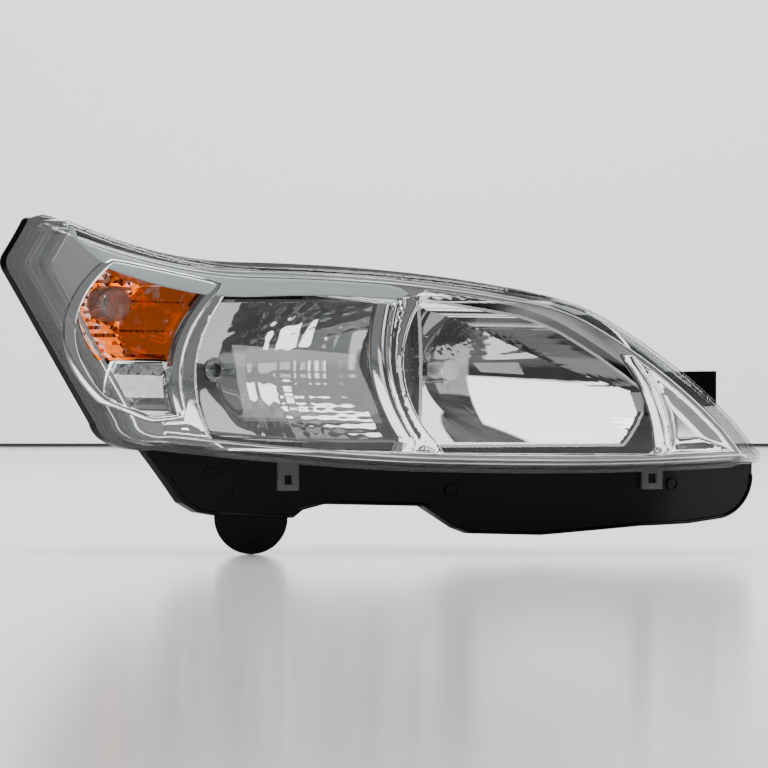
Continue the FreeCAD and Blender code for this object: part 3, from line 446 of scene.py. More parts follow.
def plastic(name, color, rough, grain=900, depth=0.00006, coat=0.0, spread=0.08, mottle=0.12,
            specular=0.5):
    """Moulded plastic: fine grain in the bump, with roughness and colour that wander a little."""
    n = Nodes(name)
    shader = n.add("ShaderNodeBsdfPrincipled")
    base = n.mix(n.noise(14, 4), shade(color, 1 - mottle), shade(color, 1 + mottle))
    n.feed(shader.inputs["Base Color"], base)
    n.feed(shader.inputs["Roughness"],
           n.ramp(n.noise(60, 3), rough - spread / 2, rough + spread / 2))
    n.feed(shader.inputs["Normal"], n.bump(n.noise(grain, 2), 0.35, depth))
    shader.inputs["Specular IOR Level"].default_value = specular
    shader.inputs["Coat Weight"].default_value = coat
    shader.inputs["Coat Roughness"].default_value = 0.06
    n.surface(shader.outputs[0])


# Bright boxes of a painted studio reflection, by the direction plating reflects: degrees inboard of
# straight ahead (from, to), degrees up (from, to), and brightness. FACET_STUDIO also has a faint painted chequer.
LOW_STUDIO = ((-60, -22, 18, 46, 1.0), (-72, -46, -56, -28, 1.0), (-97, -84, -34, 4, 0.3),
              (-100, -66, 56, 80, 0.1), (60, 150, 20, 85, 0.3), (30, 150, -62, -8, 0.3),
              (-76, -68, -12, 10, 0.7), (-20, 20, -30, 60, 0.05))
HIGH_STUDIO = ((-106, -36, 8, 72, 1.1), (-100, -50, -75, -16, 0.42), (-110, -97, -40, 6, 0.9),
               (-40, 10, -40, 40, 0.2), (30, 160, -20, 60, 0.8), (60, 120, -80, -40, 0.16))
TRIM_STUDIO = ((-120, 90, -40, -7, 1.0), (-120, -50, -4, 40, 0.07), (-44, -26, 2, 60, 0.6),
               (-20, 0, 12, 50, 0.5), (4, 16, -5, 1, 0.9), (24, 70, -4, 30, 0.8),
               (90, 170, -30, 30, 0.5))
FACET_STUDIO = ((-120, -75, -10, 60, 0.9), (-60, -35, -50, -5, 0.7), (-40, 10, 10, 60, 1.0),
                (20, 90, -60, -20, 0.5), (100, 170, -20, 60, 0.6), (-100, -70, -70, -30, 0.5),
                (30, 80, 5, 40, 0.7))


STUDIO_STRENGTH = 2.8
STUDIO_EDGE = 3.0
CHEQUER_SCALE = 6.0


def painted_studio_reflection(n, color, normal, boxes, dark, chequer):
    """Painted studio reflection for bright plating: a glow of white boxes round a dark room."""
    incoming = n.add("ShaderNodeNewGeometry").outputs["Incoming"]
    facing = n.add("ShaderNodeVectorMath", operation="SCALE", Vector=incoming, Scale=-1.0)
    way = n.add("ShaderNodeVectorMath", operation="REFLECT")
    n.feed(way.inputs[0], facing.outputs[0])
    n.feed(way.inputs[1], normal)
    parts = n.add("ShaderNodeSeparateXYZ", Vector=way.outputs[0]).outputs
    ahead = n.math("MULTIPLY", parts["Y"], -1.0)
    turn = n.math("DEGREES", n.math("ARCTAN2", parts["X"], ahead))
    rise = n.math("DEGREES", n.math("ARCSINE", parts["Z"]))
    level = n.math("MULTIPLY", n.noise(14, 3), dark)
    for turn_from, turn_to, rise_from, rise_to, bright in boxes:
        lit = n.ramp(turn, 0.0, bright, turn_from, turn_from + STUDIO_EDGE)
        for value, start, end in ((turn, turn_to, turn_to - STUDIO_EDGE),
                                  (rise, rise_from, rise_from + STUDIO_EDGE),
                                  (rise, rise_to, rise_to - STUDIO_EDGE)):
            lit = n.math("MULTIPLY", lit, n.ramp(value, 0.0, 1.0, start, end))
        level = n.math("ADD", level, lit)
    if chequer:
        squares = n.add("ShaderNodeTexChecker", Vector=way.outputs[0], Scale=CHEQUER_SCALE)
        level = n.math("ADD", level, n.math("MULTIPLY", squares.outputs["Fac"], chequer))
    strength = n.math("MULTIPLY", level, STUDIO_STRENGTH)
    return n.add("ShaderNodeEmission", Color=color, Strength=strength).outputs[0]


def metal(name, color, rough, ripple=0.00001, ripple_scale=1500, stretch=(1, 1, 1), spread=0.04,
          studio=0.0, boxes=TRIM_STUDIO, dark=0.05, chequer=0.0, tint=None, reflection_tint_at=None):
    """Plated or bright metal, with a smear in its colour and roughness, a wave in its skin and painted
    reflections.
    """
    n = Nodes(name)
    shader = n.add("ShaderNodeBsdfPrincipled", Metallic=1.0)
    base = n.mix(n.noise(45, 4), shade(color, 0.93), rgba(color))
    # Painted reflection of the amber bulb: colour pulled towards the tint where the mask is high.
    if tint:
        base = n.mix(reflection_tint_at(n), base, rgba(tint))
    normal = n.bump(n.noise(ripple_scale, 2, stretch), 0.4, ripple)
    n.feed(shader.inputs["Base Color"], base)
    n.feed(shader.inputs["Roughness"],
           n.ramp(n.noise(80, 4), max(rough - spread, 0.01), rough + spread))
    n.feed(shader.inputs["Normal"], normal)
    last = shader.outputs[0]
    # Painted studio reflection: an emission by reflection direction, blended in by the studio share.
    if studio:
        last = n.blend(studio, last, painted_studio_reflection(n, base, normal, boxes, dark, chequer))
    n.surface(last)


def clear(name, tint, edge_tint, gloss=1.0, haze=0.0, milk=0.85):
    """Thin clear plastic or glass: see-through face on, mirror-like and tinted at its edges."""
    n = Nodes(name)
    facing = n.math("POWER", n.add("ShaderNodeLayerWeight", Blend=0.5).outputs["Facing"], 3.0)
    through = n.add("ShaderNodeBsdfTransparent", Color=n.mix(facing, rgba(tint), rgba(edge_tint)))
    shine = n.add("ShaderNodeBsdfGlossy", Roughness=0.012)
    n.feed(shine.inputs["Normal"], n.bump(n.noise(25, 2), 0.15, 0.0002))
    slant = n.math("POWER", n.add("ShaderNodeLayerWeight", Blend=0.5).outputs["Facing"], 5.0)
    mirror = n.ramp(slant, 0.04 * gloss, 0.8)
    last = n.blend(mirror, through.outputs[0], shine.outputs[0])
    if haze:
        mist = n.add("ShaderNodeBsdfDiffuse", Color=rgba(milk)).outputs[0]
        last = n.blend(n.ramp(n.noise(30, 4), haze * 0.7, haze * 1.3), last, mist)
    n.surface(last)


def painted_amber_reflection(n):
    """Where a painted reflection of the amber bulb tints the indicator's facets: beside and below its cap."""
    parts = n.add("ShaderNodeSeparateXYZ", Vector=n.place).outputs
    across = n.ramp(parts["X"], -0.35, 0.9, place(-160, 0, 0).x, place(-122, 0, 0).x)
    drop = n.ramp(parts["Z"], 0.55, -0.25, 180 * MM, 240 * MM)
    reflection_blotches = n.ramp(n.noise(90, 2), -1.2, 1.2, 0.25, 0.75)
    spread = n.math("ADD", n.math("ADD", across, drop), reflection_blotches)
    return n.ramp(spread, 0.6, 1.0, 0.1, 0.7)


def make_materials():
    """One finish for each material slot of the record, and a few variants of them."""
    plastic("black_housing", 0.0018, 0.14, grain=240, depth=0.00002, specular=0.08)
    plastic("sealant", 0.02, 0.6, grain=500, depth=0.0002)
    plastic("satin_bezel", 0.17, 0.34, grain=700, depth=0.00001, coat=0.15, mottle=0.04)
    plastic("frosted", (0.30, 0.32, 0.33), 0.38, grain=1800, depth=0.00003, coat=0.3, mottle=0.03)
    # Painted studio reflections come in by each studio share; amber facets get a painted bulb reflection.
    metal("chrome_trim", (0.93, 0.94, 0.95), 0.03, 0.0009, 26, spread=0.012, studio=0.75)
    metal("reflector", (0.92, 0.93, 0.94), 0.03, 0.0005, 30, spread=0.015, studio=0.85,
          boxes=LOW_STUDIO)
    metal("high_reflector", (0.92, 0.93, 0.92), 0.03, 0.0003, 30, spread=0.015, studio=0.88,
          boxes=HIGH_STUDIO, dark=0.03)
    metal("amber_reflector", (0.95, 0.93, 0.9), 0.05, 0.00005, 160, spread=0.015, studio=0.85,
          boxes=FACET_STUDIO, dark=0.02, chequer=0.1, tint=(1.0, 0.17, 0.003),
          reflection_tint_at=painted_amber_reflection)
    metal("crystal_reflector", (0.93, 0.94, 0.95), 0.04, 0.00005, 160, spread=0.02, studio=0.85,
          boxes=FACET_STUDIO, chequer=0.4)
    plastic("grey_plastic", 0.14, 0.45)
    metal("zinc_steel", (0.70, 0.69, 0.66), 0.28, 0.00003, 900, (1, 1, 0.1))
    metal("bulb_metal", (0.68, 0.67, 0.65), 0.2, 0.00002, 900, (1, 1, 0.1))
    clear("bulb_glass", (0.97, 0.98, 0.98), (0.7, 0.74, 0.76))
    metal("filament", (0.3, 0.29, 0.28), 0.4)
    plastic("black_plug", 0.02, 0.4)
    metal("spring_wire", (0.66, 0.66, 0.64), 0.22, 0.00003, 900, (1, 1, 0.1))
    metal("satin_shield", (0.70, 0.71, 0.73), 0.3, 0.00004, 900, (0.1, 1, 1), studio=0.15)
    clear("amber_glass", (1.0, 0.42, 0.03), (0.75, 0.2, 0.01))
    metal("brass_base", (0.83, 0.66, 0.36), 0.22)
    plastic("grey_holder", 0.2, 0.45)
    plastic("rubber", 0.016, 0.7, grain=700, depth=0.0001)
    clear("clear_cap", (0.93, 0.95, 0.96), (0.45, 0.5, 0.52), gloss=2.5, haze=0.35, milk=0.3)
    plastic("black_cover", 0.015, 0.35)
    plastic("white_nylon", 0.62, 0.42, mottle=0.05)
    metal("steel_core", (0.42, 0.36, 0.3), 0.4)
    plastic("loom_sleeve", 0.015, 0.55, grain=400, depth=0.0003)
    clear("clear_lens", (0.985, 0.99, 0.99), (0.62, 0.67, 0.66))
    clear("lens_side", (0.93, 0.95, 0.94), (0.45, 0.49, 0.48), gloss=0.6, haze=0.3, milk=0.14)


def dress_cad_nodes():
    """Give every CAD node the finish of its slot, and round its shading up to sharp edges."""
    for entry in frame["record"]["subparts"]:
        mesh = frame["nodes"][entry["node"]].data
        mesh.materials.clear()
        mesh.materials.append(MATERIALS[entry["material_slot"]])
        mesh.shade_smooth()
        mesh.set_sharp_from_angle(angle=math.radians(32))


# ---- lens --------------------------------------------------------------------------------------

LENS_WALL = 2.8
LENS_EDGE_RADIUS = 4.5
LENS_DEPTH = 40
FLANGE_FRONT, FLANGE_BACK, FLANGE_OUT = 33.6, 36.9, 4
RIDGES = (31, 25, 19, 13)
CREASE_HEIGHT = 116
TABS = ((-59, 79), (247, 74))


def rectangle(station, half, bottom, top):
    """Outline of an upright rectangle about a chord station."""
    left, right = station - half, station + half
    corners = ((left, bottom), (right, bottom), (right, top), (left, top))
    return outline(list(zip(corners, corners[1:] + corners[:1])), 2)


def make_lens():
    """Clear cap: dome, rounded edge, ridged side wall with its rim flange, and two snap tabs."""
    shell = Shell()
    edge = []
    for turn in (0, 18, 36, 54, 72, 90):
        sine, cosine = math.sin(math.radians(turn)), math.cos(math.radians(turn))
        edge.append((LENS_EDGE_RADIUS * (1 - sine), LENS_EDGE_RADIUS * (1 - cosine)))
    profile = edge + [
        (0, FLANGE_FRONT), (0.4 - FLANGE_OUT, FLANGE_FRONT), (-FLANGE_OUT, FLANGE_FRONT + 0.4),
        (-FLANGE_OUT, FLANGE_BACK - 0.4), (0.4 - FLANGE_OUT, FLANGE_BACK), (0, FLANGE_BACK),
        (0, LENS_DEPTH), (LENS_WALL, LENS_DEPTH)]
    for depth in RIDGES:
        profile += [(LENS_WALL, depth + 1.2), (LENS_WALL + 0.5, depth + 0.8),
                    (LENS_WALL + 0.5, depth), (LENS_WALL, depth - 0.4)]
    inner_radius = LENS_EDGE_RADIUS - LENS_WALL + 0.8
    for turn in (90, 60, 30, 0):
        sine, cosine = math.sin(math.radians(turn)), math.cos(math.radians(turn))
        profile.append((LENS_WALL + inner_radius * (1 - sine),
                        LENS_WALL + inner_radius * (1 - cosine)))
    rings = [shell.ring(inset(LENS, by), dome(depth)) for by, depth in profile]
    shell.rings(rings, closed=False)
    rows = [CREASE_HEIGHT + step for step in (-1.2, -0.5, 0, 0.5, 1.2)]

    def front(u, z):
        return dome(0)(u, z) - 0.22 * math.exp(-((z - CREASE_HEIGHT) / 0.5) ** 2)

    shell.patch([inset(LENS, LENS_EDGE_RADIUS)], front, 7.0, rows=rows)
    shell.patch([inset(LENS, LENS_WALL + inner_radius)], dome(LENS_WALL), 7.0)
    for station, top in TABS:
        tab = rectangle(station, 8.5, 54, top)
        slot = rectangle(station, 3.6, 59, 67)
        shell.sheet([tab, slot], dome(FLANGE_FRONT), dome(FLANGE_BACK - 0.9), 2.0)
    mesh = shell.build("lens_shell", "clear_lens", "housing_body", "outer_lens", angle=40).data
    mesh.materials.append(MATERIALS["lens_side"])
    for face in mesh.polygons:
        spot = (face.center - CROWN) / MM
        if spot.y - dome(LENS_EDGE_RADIUS + 1)(spot.x, spot.z) > 0:
            face.material_index = 1


# ---- bezel and trim ----------------------------------------------------------------------------

PANEL_FRONT, PANEL_BACK = 14.0, 16.5
BEZEL_INSET, BEZEL_WALL, TRIM_GAP = 7.0, 2.5, 0.3
BEZEL_SEAT, BEZEL_BACK = 36.6, 45.5
TRIM_THICK = 1.6
LOW_COLLAR, HIGH_COLLAR = 42, 34


def rolled(loops, depth, radius, dish=0.0, reach=1.0):
    """A surface that rolls back at its edges and dishes by an amount away from them."""
    distance = edge_distance(loops)
    base = dome(depth)

    def back(u, z):
        far = distance(u, z)
        roll = radius - math.sqrt(max(radius ** 2 - max(radius - far, 0) ** 2, 0))
        share = min(max((far - radius) / reach, 0), 1)
        return base(u, z) + roll + dish * share * share * (3 - 2 * share)
    return back


def make_bezel():
    """Satin frame: outer wall all round, panel round the outer pod and along the top, two beads."""
    shell = Shell()
    foot = LENS_WALL + 0.5
    profile = [(BEZEL_INSET + 0.8, PANEL_FRONT), (BEZEL_INSET, PANEL_FRONT + 0.9),
               (foot + 0.7, BEZEL_SEAT - 6.6), (foot, BEZEL_SEAT - 1), (foot, BEZEL_SEAT),
               (BEZEL_INSET, BEZEL_SEAT + 0.1), (BEZEL_INSET, BEZEL_BACK),
               (BEZEL_INSET + BEZEL_WALL, BEZEL_BACK), (BEZEL_INSET + BEZEL_WALL, PANEL_FRONT)]
    shell.rings([shell.ring(inset(LENS, by), dome(depth)) for by, depth in profile])
    region = inset(LENS, BEZEL_INSET + BEZEL_WALL / 2)
    trim = inset(CHROME_EDGE, -TRIM_GAP)

    def member(points):
        return inside(points, region) & ~inside(points, trim) & ~inside(points, POD_WINDOW)

    loops = [region, trim, POD_WINDOW]
    front = rolled([trim, POD_WINDOW], PANEL_FRONT, 1.4)
    shell.sheet(loops, front, dome(PANEL_BACK), 4.0, member, (0.4, 0.9, 1.5))
    shell.build("bezel_panel", "satin_bezel", "housing_body", "bezel_frame")
    beads = Shell()
    for by, depth, radius in ((BEZEL_INSET + 0.6, PANEL_FRONT - 0.3, 0.8),
                              (foot + 0.5, 29.5, 0.55)):
        profile = [(by + radius * math.cos(turn), depth + radius * math.sin(turn))
                   for turn in np.radians(np.arange(0, 360, 45))]
        beads.rings([beads.ring(inset(LENS, out), dome(back)) for out, back in profile])
    beads.build("bezel_beads", "chrome_trim", "housing_body", angle=60)


def make_pod_rim():
    """Bright rolled border round the window of the indicator and the side lamp."""
    shell = Shell()
    profile = [(-5.2, -0.2), (-4.9, -1.4), (-4.0, -2.5), (-2.6, -3.0), (-1.2, -2.6), (-0.2, -1.4),
               (0.1, 0.2), (0.1, 7.0), (-0.9, 7.0), (-0.9, 2.9), (-4.6, 2.9)]
    shell.rings([shell.ring(inset(POD_WINDOW, by), dome(PANEL_FRONT + depth))
                 for by, depth in profile])
    shell.build("pod_rim", "chrome_trim", "housing_body")


def make_frosted_strip():
    """Pale raised band along the top of the panel, from the outer corner to a rounded end."""
    edge = BEZEL_INSET + 2.2
    top = sorted(p for p in inset(LENS, edge) if p[1] > 225 and -162 < p[0] < 16)
    bottom = [(u, z - 12 - 6 * math.exp(-((u + 110) / 60) ** 2)) for u, z in top if u > -150]
    end = [(top[-1][0] + 7, top[-1][1] - 2.5), (top[-1][0] + 12, top[-1][1] - 7),
           (top[-1][0] + 8, top[-1][1] - 10.6)]
    loop = anticlockwise(top + end + bottom[::-1])
    shell = Shell()
    shell.sheet([loop], rolled([loop], PANEL_FRONT - 2.2, 1.8), dome(PANEL_FRONT + 0.4), 3.0,
                echoes=(0.3, 0.9, 1.8))
    shell.build("frosted_strip", "frosted", "housing_body")


def make_trim():
    """Chromed panel round both main windows, dished between rolled edges, with deep collars."""
    shell = Shell()
    region = inset(LENS, BEZEL_INSET + BEZEL_WALL + TRIM_GAP)

    def member(points):
        return (inside(points, region) & inside(points, CHROME_EDGE)
                & ~inside(points, LOW_WINDOW) & ~inside(points, HIGH_WINDOW)
                & ~inside(points, POD_WINDOW))

    loops = [region, CHROME_EDGE, LOW_WINDOW, HIGH_WINDOW, POD_WINDOW]
    front = rolled([LOW_WINDOW, HIGH_WINDOW, region, POD_WINDOW], PANEL_FRONT, 1.8, 6.0, 11.0)
    shell.sheet(loops, front, lambda u, z: front(u, z) + TRIM_THICK, 2.4, member,
                (0.2, 0.5, 0.9, 1.4, 2.0, 2.8, 4.0))
    for window, depth in ((LOW_WINDOW, LOW_COLLAR), (HIGH_WINDOW, HIGH_COLLAR)):
        profile = [(0.0, PANEL_FRONT + 1.8), (0.0, depth - 0.6), (-0.6, depth), (-1.4, depth),
                   (-2.0, depth - 0.6), (-2.0, PANEL_FRONT + 2.4)]
        shell.rings([shell.ring(inset(window, by), dome(back)) for by, back in profile])
    shell.build("chrome_panel", "chrome_trim", "housing_body", "chrome_trim", angle=50)


def make_skirt_bead():
    """Rounded bead moulded along the lower edge of the skirt."""
    shell = Shell()
    profile = [(0.1, 41.2), (0.1, 39.9), (0.6, 39.3), (1.4, 39.1), (2.2, 39.3), (2.7, 39.9),
               (2.7, 41.2)]
    loops = [inset(SKIRT, by) for by, _ in profile]
    shown = [i for i, (u, z) in enumerate(SKIRT) if z < 66]
    first = next(i for i in shown if (i - 1) % len(SKIRT) not in shown)
    order = [(first + step) % len(SKIRT) for step in range(len(shown))]
    rows = [shell.add([place(loop[i][0], dome(depth)(*loop[i]), loop[i][1])
                       for loop, (_, depth) in zip(loops, profile)]) for i in order]
    for row, after in zip(rows, rows[1:]):
        shell.bridge(row, after)
    shell.faces += [tuple(rows[0]), tuple(reversed(rows[-1]))]
    shell.build("skirt_bead", "black_housing", "housing_body", angle=50)


# ---- reflectors --------------------------------------------------------------------------------

FOCAL = 25
BOWL_WALL, BOWL_SKIN, BOWL_TOP, LENS_ROOM = 2.3, 2.4, 214, 15.5
BULB_SEAT, NECK_RADIUS, NECK_DEPTH = 11, 15, 5
LOW_AXIS, HIGH_AXIS = (-47.7, 174.4), (107, 88)
CARRIER_FACE = 124.9
POST_RADIUS, SCREW_RADIUS = 3.7, 1.9
POD_SKIN = 1.8


def paraboloid(u, w, z, focal, ripple=None):
    """Reflecting surface with a ripple that stands forward of it by an amount at (du, dz)."""
    def back(at_u, at_z):
        du, dz = at_u - u, at_z - z
        return w - (du * du + dz * dz) / (4 * focal) - (ripple(du, dz) if ripple else 0)
    return back


def ease(value, start, end):
    """0 up to start, 1 from end on, and a smooth rise between."""
    share = min(max((value - start) / (end - start), 0), 1)
    return share * share * (3 - 2 * share)


def cusps(value, pitch):
    """Rounded flutes that meet in sharp valleys, one a pitch."""
    return abs(math.sin(math.pi * value / pitch))


def low_ripple(du, dz):
    """Broad flutes outboard, narrow columns inboard, steps low down and a fan at the top."""
    broad = 0.7 * cusps(du + 46, 26) * (1 - ease(du, 18, 26))
    columns = 0.9 * cusps(du, 9.5) * ease(du, 18, 26)
    steps = 0.7 * cusps(dz, 7) * ease(du, 44, 52) * (1 - ease(dz, -4, 6))
    fan = 0.6 * cusps(dz - du * 0.5, 11) * ease(dz, 16, 26)
    return broad + columns + steps + fan


def high_ripple(du, dz):
    """Narrow strips outboard, a fan round the bulb above it, and fine steps at the inboard rim."""
    strips = 0.9 * cusps(du, 8) * (1 - ease(du, -14, -6))
    fan = 0.8 * cusps(math.degrees(math.atan2(dz, du)), 7) * ease(dz, 8, 14) * ease(du, 10, 22)
    rim = 0.5 * cusps(dz, 5) * ease(du, 96, 102)
    return strips + fan + rim


def reachable(loop, u, z, room):
    """The outline, seen from (u, z), of the part of a loop's inside where there is room."""
    steps = np.arange(2, 200, 0.5)
    reached = []
    for turn in np.radians(np.arange(0, 360, 1.0)):
        spots = np.stack([u + steps * math.cos(turn), z + steps * math.sin(turn)], axis=1)
        free = inside(spots, loop)
        last = next(i for i, spot in enumerate(spots) if not free[i] or room(*spot) < 0)
        reached.append(tuple(spots[last - 1]))
    return reached


def make_bowl(name, node, finish, axis, sides, bottom, ripple, lip_depth):
    """Open box of smooth walls round a fluted paraboloid with the bulb's round seat in it."""
    u, w = axis
    region = inset(LENS, LENS_ROOM)
    for which, limit, side in ((0, u - sides[0], 1), (0, u + sides[1], -1), (1, bottom, 1),
                               (1, BOWL_TOP, -1)):
        region = clip(region, which, limit, side)
    face = paraboloid(u, w, BULB_HEIGHT, FOCAL, ripple)
    smooth = paraboloid(u, w, BULB_HEIGHT, FOCAL)
    front = dome(lip_depth)

    def room(at_u, at_z):
        return smooth(at_u, at_z) - front(at_u, at_z)

    def lip(at_u, at_z):
        return min(front(at_u, at_z), smooth(at_u, at_z) - 0.5)

    def behind(at_u, at_z):
        return smooth(at_u, at_z) + BOWL_SKIN

    region = polyline(reachable(region, u, BULB_HEIGHT, room), 2.0)
    inner = inset(region, BOWL_WALL)
    shell = Shell()
    shell.sheet([inner, circle(u, BULB_HEIGHT, BULB_SEAT)], face, behind, 1.9)
    shell.box(inner, region, face, lip, behind)
    shell.rings([shell.hoop(u, BULB_HEIGHT, radius, w + back)
                 for radius, back in ((BULB_SEAT, -0.3), (BULB_SEAT, NECK_DEPTH),
                                      (NECK_RADIUS, NECK_DEPTH), (NECK_RADIUS, 0))])
    shell.build(name, finish, "carrier_body", node, angle=22)


def make_posts():
    """Screw posts behind both bowls, up to the carrier plate."""
    shell = Shell()
    spots = [(LOW_AXIS, 20, 206), (LOW_AXIS, 20, 102)]
    for turn in (90, 210, 330):
        spots.append((HIGH_AXIS, HIGH_AXIS[0] + 32 * math.cos(math.radians(turn)),
                      BULB_HEIGHT + 32 * math.sin(math.radians(turn))))
    for (axis_u, axis_w), u, z in spots:
        foot = paraboloid(axis_u, axis_w, BULB_HEIGHT, FOCAL)(u, z) + 1.5
        profile = [(POST_RADIUS + 0.9, foot - 1), (POST_RADIUS + 0.5, foot + 6),
                   (POST_RADIUS + 0.3, CARRIER_FACE - 0.3), (POST_RADIUS, CARRIER_FACE),
                   (SCREW_RADIUS, CARRIER_FACE), (SCREW_RADIUS, foot + 8)]
        shell.rings([shell.hoop(u, z, radius, back, 24) for radius, back in profile])
    shell.build("bowl_posts", "reflector", "carrier_body")


def within(points, region, hole):
    """The points that lie clear of a region's border, outside its hole."""
    spots = np.array(points)
    ok = inside(spots, inset(region, 0.8)) & ~inside(spots, hole)
    return [point for point, keep in zip(points, ok) if keep]


def rounded(point):
    """A key that finds the same point again after triangulation."""
    return round(point[0], 3), round(point[1], 3)


def facets(shell, region, hole, back, thick, pitch, proud, lean):
    """A skin of four-sided pyramids over a region, and a plain skin behind it."""
    us, zs = [p[0] for p in region], [p[1] for p in region]
    rows = int((max(zs) - min(zs)) / pitch) + 2
    columns = int((max(us) - min(us)) / pitch) + 3
    corners, centres = [], []
    for j in range(rows):
        for i in range(columns):
            u = min(us) - pitch + i * pitch + lean * j * pitch
            z = min(zs) + (j - 0.3) * pitch
            corners.append((u, z))
            centres.append((u + pitch / 2 + lean * pitch / 2, z + pitch / 2))
    corners = within(corners, region, hole)
    tips = within(centres, region, hole)
    marks = {rounded(tip) for tip in tips}
    verts, faces = triangles([region, hole], even_odd([region, hole]), corners + tips)
    near = shell.add([place(u, back(u, z) - (proud if rounded((u, z)) in marks else 0), z)
                      for u, z in verts])
    far = shell.add([place(u, back(u, z) + thick, z) for u, z in verts])
    shell.plate(near, far, faces)


def make_pod(name, node, slot, axis, focal, hole_radius, low, high, pitch, proud, lean):
    """Faceted reflector of the indicator or the side lamp, with a wall round it and a neck."""
    u, w, z = axis
    back = paraboloid(u, w, z, focal)

    def lip(at_u, at_z):
        return min(dome(20)(at_u, at_z), back(at_u, at_z) - 0.4)

    def behind(at_u, at_z):
        return back(at_u, at_z) + POD_SKIN

    region = clip(clip(inset(POD_WINDOW, 0.2), 1, low, 1), 1, high, -1)
    region = polyline(region, 2.5)
    inner = inset(region, POD_SKIN)
    shell = Shell()
    facets(shell, inner, circle(u, z, hole_radius, 32), back, POD_SKIN, pitch, proud, lean)
    shell.box(inner, region, back, lip, behind)
    neck_radius = hole_radius + 2.4
    shell.rings([shell.hoop(u, z, radius, w + far, 32)
                 for radius, far in ((hole_radius, 0), (hole_radius, NECK_DEPTH),
                                     (neck_radius, NECK_DEPTH), (neck_radius, 0))])
    shell.build(name, slot, "housing_body", node, angle=12)


def make_cap():
    """Round clear cap over the indicator bulb, with upright flutes across its face."""
    u, z, front, foot, radius, wall = -130, 210, 195, 221, 15, 1.6
    shell = Shell()

    def face(at_u, at_z):
        out = math.hypot(at_u - u, at_z - z)
        crown = 2.2 * (1 - (out / radius) ** 2)
        flute = 0.7 * cusps(at_u - u, 2.3) * (1 - ease(out, 11.5, 12.5))
        ring = 0.5 * cusps(out, 1.5) * ease(out, 12, 12.5)
        return front + 2.6 - crown - flute - ring

    rim = circle(u, z, radius - 0.6)
    shell.patch([rim], face, 0.75)
    shell.patch([circle(u, z, radius - wall)], lambda at_u, at_z: front + 3.6, 3.0)
    rings = [shell.ring(rim, face)]
    for size, w in ((radius, front + 3.2), (radius, foot), (radius - wall, foot),
                    (radius - wall, front + 3.6)):
        rings.append(shell.hoop(u, z, size, w))
    shell.rings(rings, closed=False)
    shell.build("indicator_flutes", "clear_cap", "housing_body", "indicator_cap", angle=60)


# ---- stage -------------------------------------------------------------------------------------

CAMERA_TURN, CAMERA_RISE, CAMERA_FAR = math.radians(-38), math.radians(1.0), 8.0
PICTURE_WIDTH = 0.640
BACKDROP_FAR = 3.84
SHADOW_LINE_HEIGHT = 0.004


def seen_from_camera(across, away, up):
    """A place given across the picture, away from the camera and up, in metres from the crown."""
    right = Vector((math.cos(CAMERA_TURN), math.sin(CAMERA_TURN), 0))
    forward = Vector((-math.sin(CAMERA_TURN), math.cos(CAMERA_TURN), 0))
    spot = Vector((CROWN.x, CROWN.y, 0)) + right * across + forward * away
    return spot + Vector((0, 0, up))


def make_camera():
    """A long lens from far away, at the photo's angle."""
    camera = bpy.data.objects.new("camera", bpy.data.cameras.new("camera"))
    bpy.context.scene.collection.objects.link(camera)
    target = place(0, 0, 144)
    back = Vector((math.sin(CAMERA_TURN) * math.cos(CAMERA_RISE),
                   -math.cos(CAMERA_TURN) * math.cos(CAMERA_RISE), math.sin(CAMERA_RISE)))
    camera.location = target + back * CAMERA_FAR
    camera.rotation_euler = (-back).to_track_quat("-Z", "Y").to_euler()
    camera.data.lens = camera.data.sensor_width * CAMERA_FAR / PICTURE_WIDTH
    camera.data.clip_end = 50
    bpy.context.scene.camera = camera


def board(name, corners, material):
    """A flat part of the stage with corners given as seen from the camera."""
    corners = [seen_from_camera(*corner) for corner in corners]
    mesh = bpy.data.meshes.new(name)
    mesh.from_pydata(corners, [], [tuple(range(len(corners)))])
    mesh.materials.append(material)
    obj = bpy.data.objects.new(name, mesh)
    bpy.context.scene.collection.objects.link(obj)
    return obj


def softbox(name, where, target, width, height, power):
    """A soft rectangular light that faces a target."""
    light = bpy.data.lights.new(name, "AREA")
    light.shape = "RECTANGLE"
    light.size, light.size_y, light.energy = width, height, power
    obj = bpy.data.objects.new(name, light)
    obj.location = where
    obj.rotation_euler = (target - where).to_track_quat("-Z", "Y").to_euler()
    bpy.context.scene.collection.objects.link(obj)


def one_sided(n, shader):
    """See-through from behind, so that the lamp can be seen from all round."""
    behind = n.add("ShaderNodeNewGeometry").outputs["Backfacing"]
    return n.blend(behind, shader, n.add("ShaderNodeBsdfTransparent").outputs[0])


def make_stage():
    """Pale floor, backdrop, and a thin dark strip of painted shadow where they meet."""
    floor = Nodes("stage_floor")
    shader = floor.add("ShaderNodeBsdfPrincipled", Roughness=0.14)
    floor.feed(shader.inputs["Base Color"], rgba((0.44, 0.45, 0.44)))
    floor.surface(shader.outputs[0])
    wall = Nodes("stage_wall")
    shader = wall.add("ShaderNodeBsdfPrincipled", Roughness=0.9)
    wall.feed(shader.inputs["Base Color"], rgba((0.74, 0.74, 0.73)))
    wall.surface(one_sided(wall, shader.outputs[0]))
    # Painted shadow: a dark strip at the foot of the backdrop, for the shade where floor meets wall.
    gap = Nodes("stage_gap")
    gap.surface(one_sided(gap, gap.add("ShaderNodeBsdfDiffuse", Color=rgba(0.03)).outputs[0]))
    side, near, far, top = 7, -9, BACKDROP_FAR, 6
    line_at = far - 0.01
    board("floor", [(-side, near, 0), (side, near, 0), (side, far, 0), (-side, far, 0)],
          MATERIALS["stage_floor"])
    board("backdrop", [(-side, far, 0), (side, far, 0), (side, far, top), (-side, far, top)],
          MATERIALS["stage_wall"])
    board("gap", [(-side, line_at, 0), (side, line_at, 0), (side, line_at, SHADOW_LINE_HEIGHT),
                  (-side, line_at, SHADOW_LINE_HEIGHT)], MATERIALS["stage_gap"])


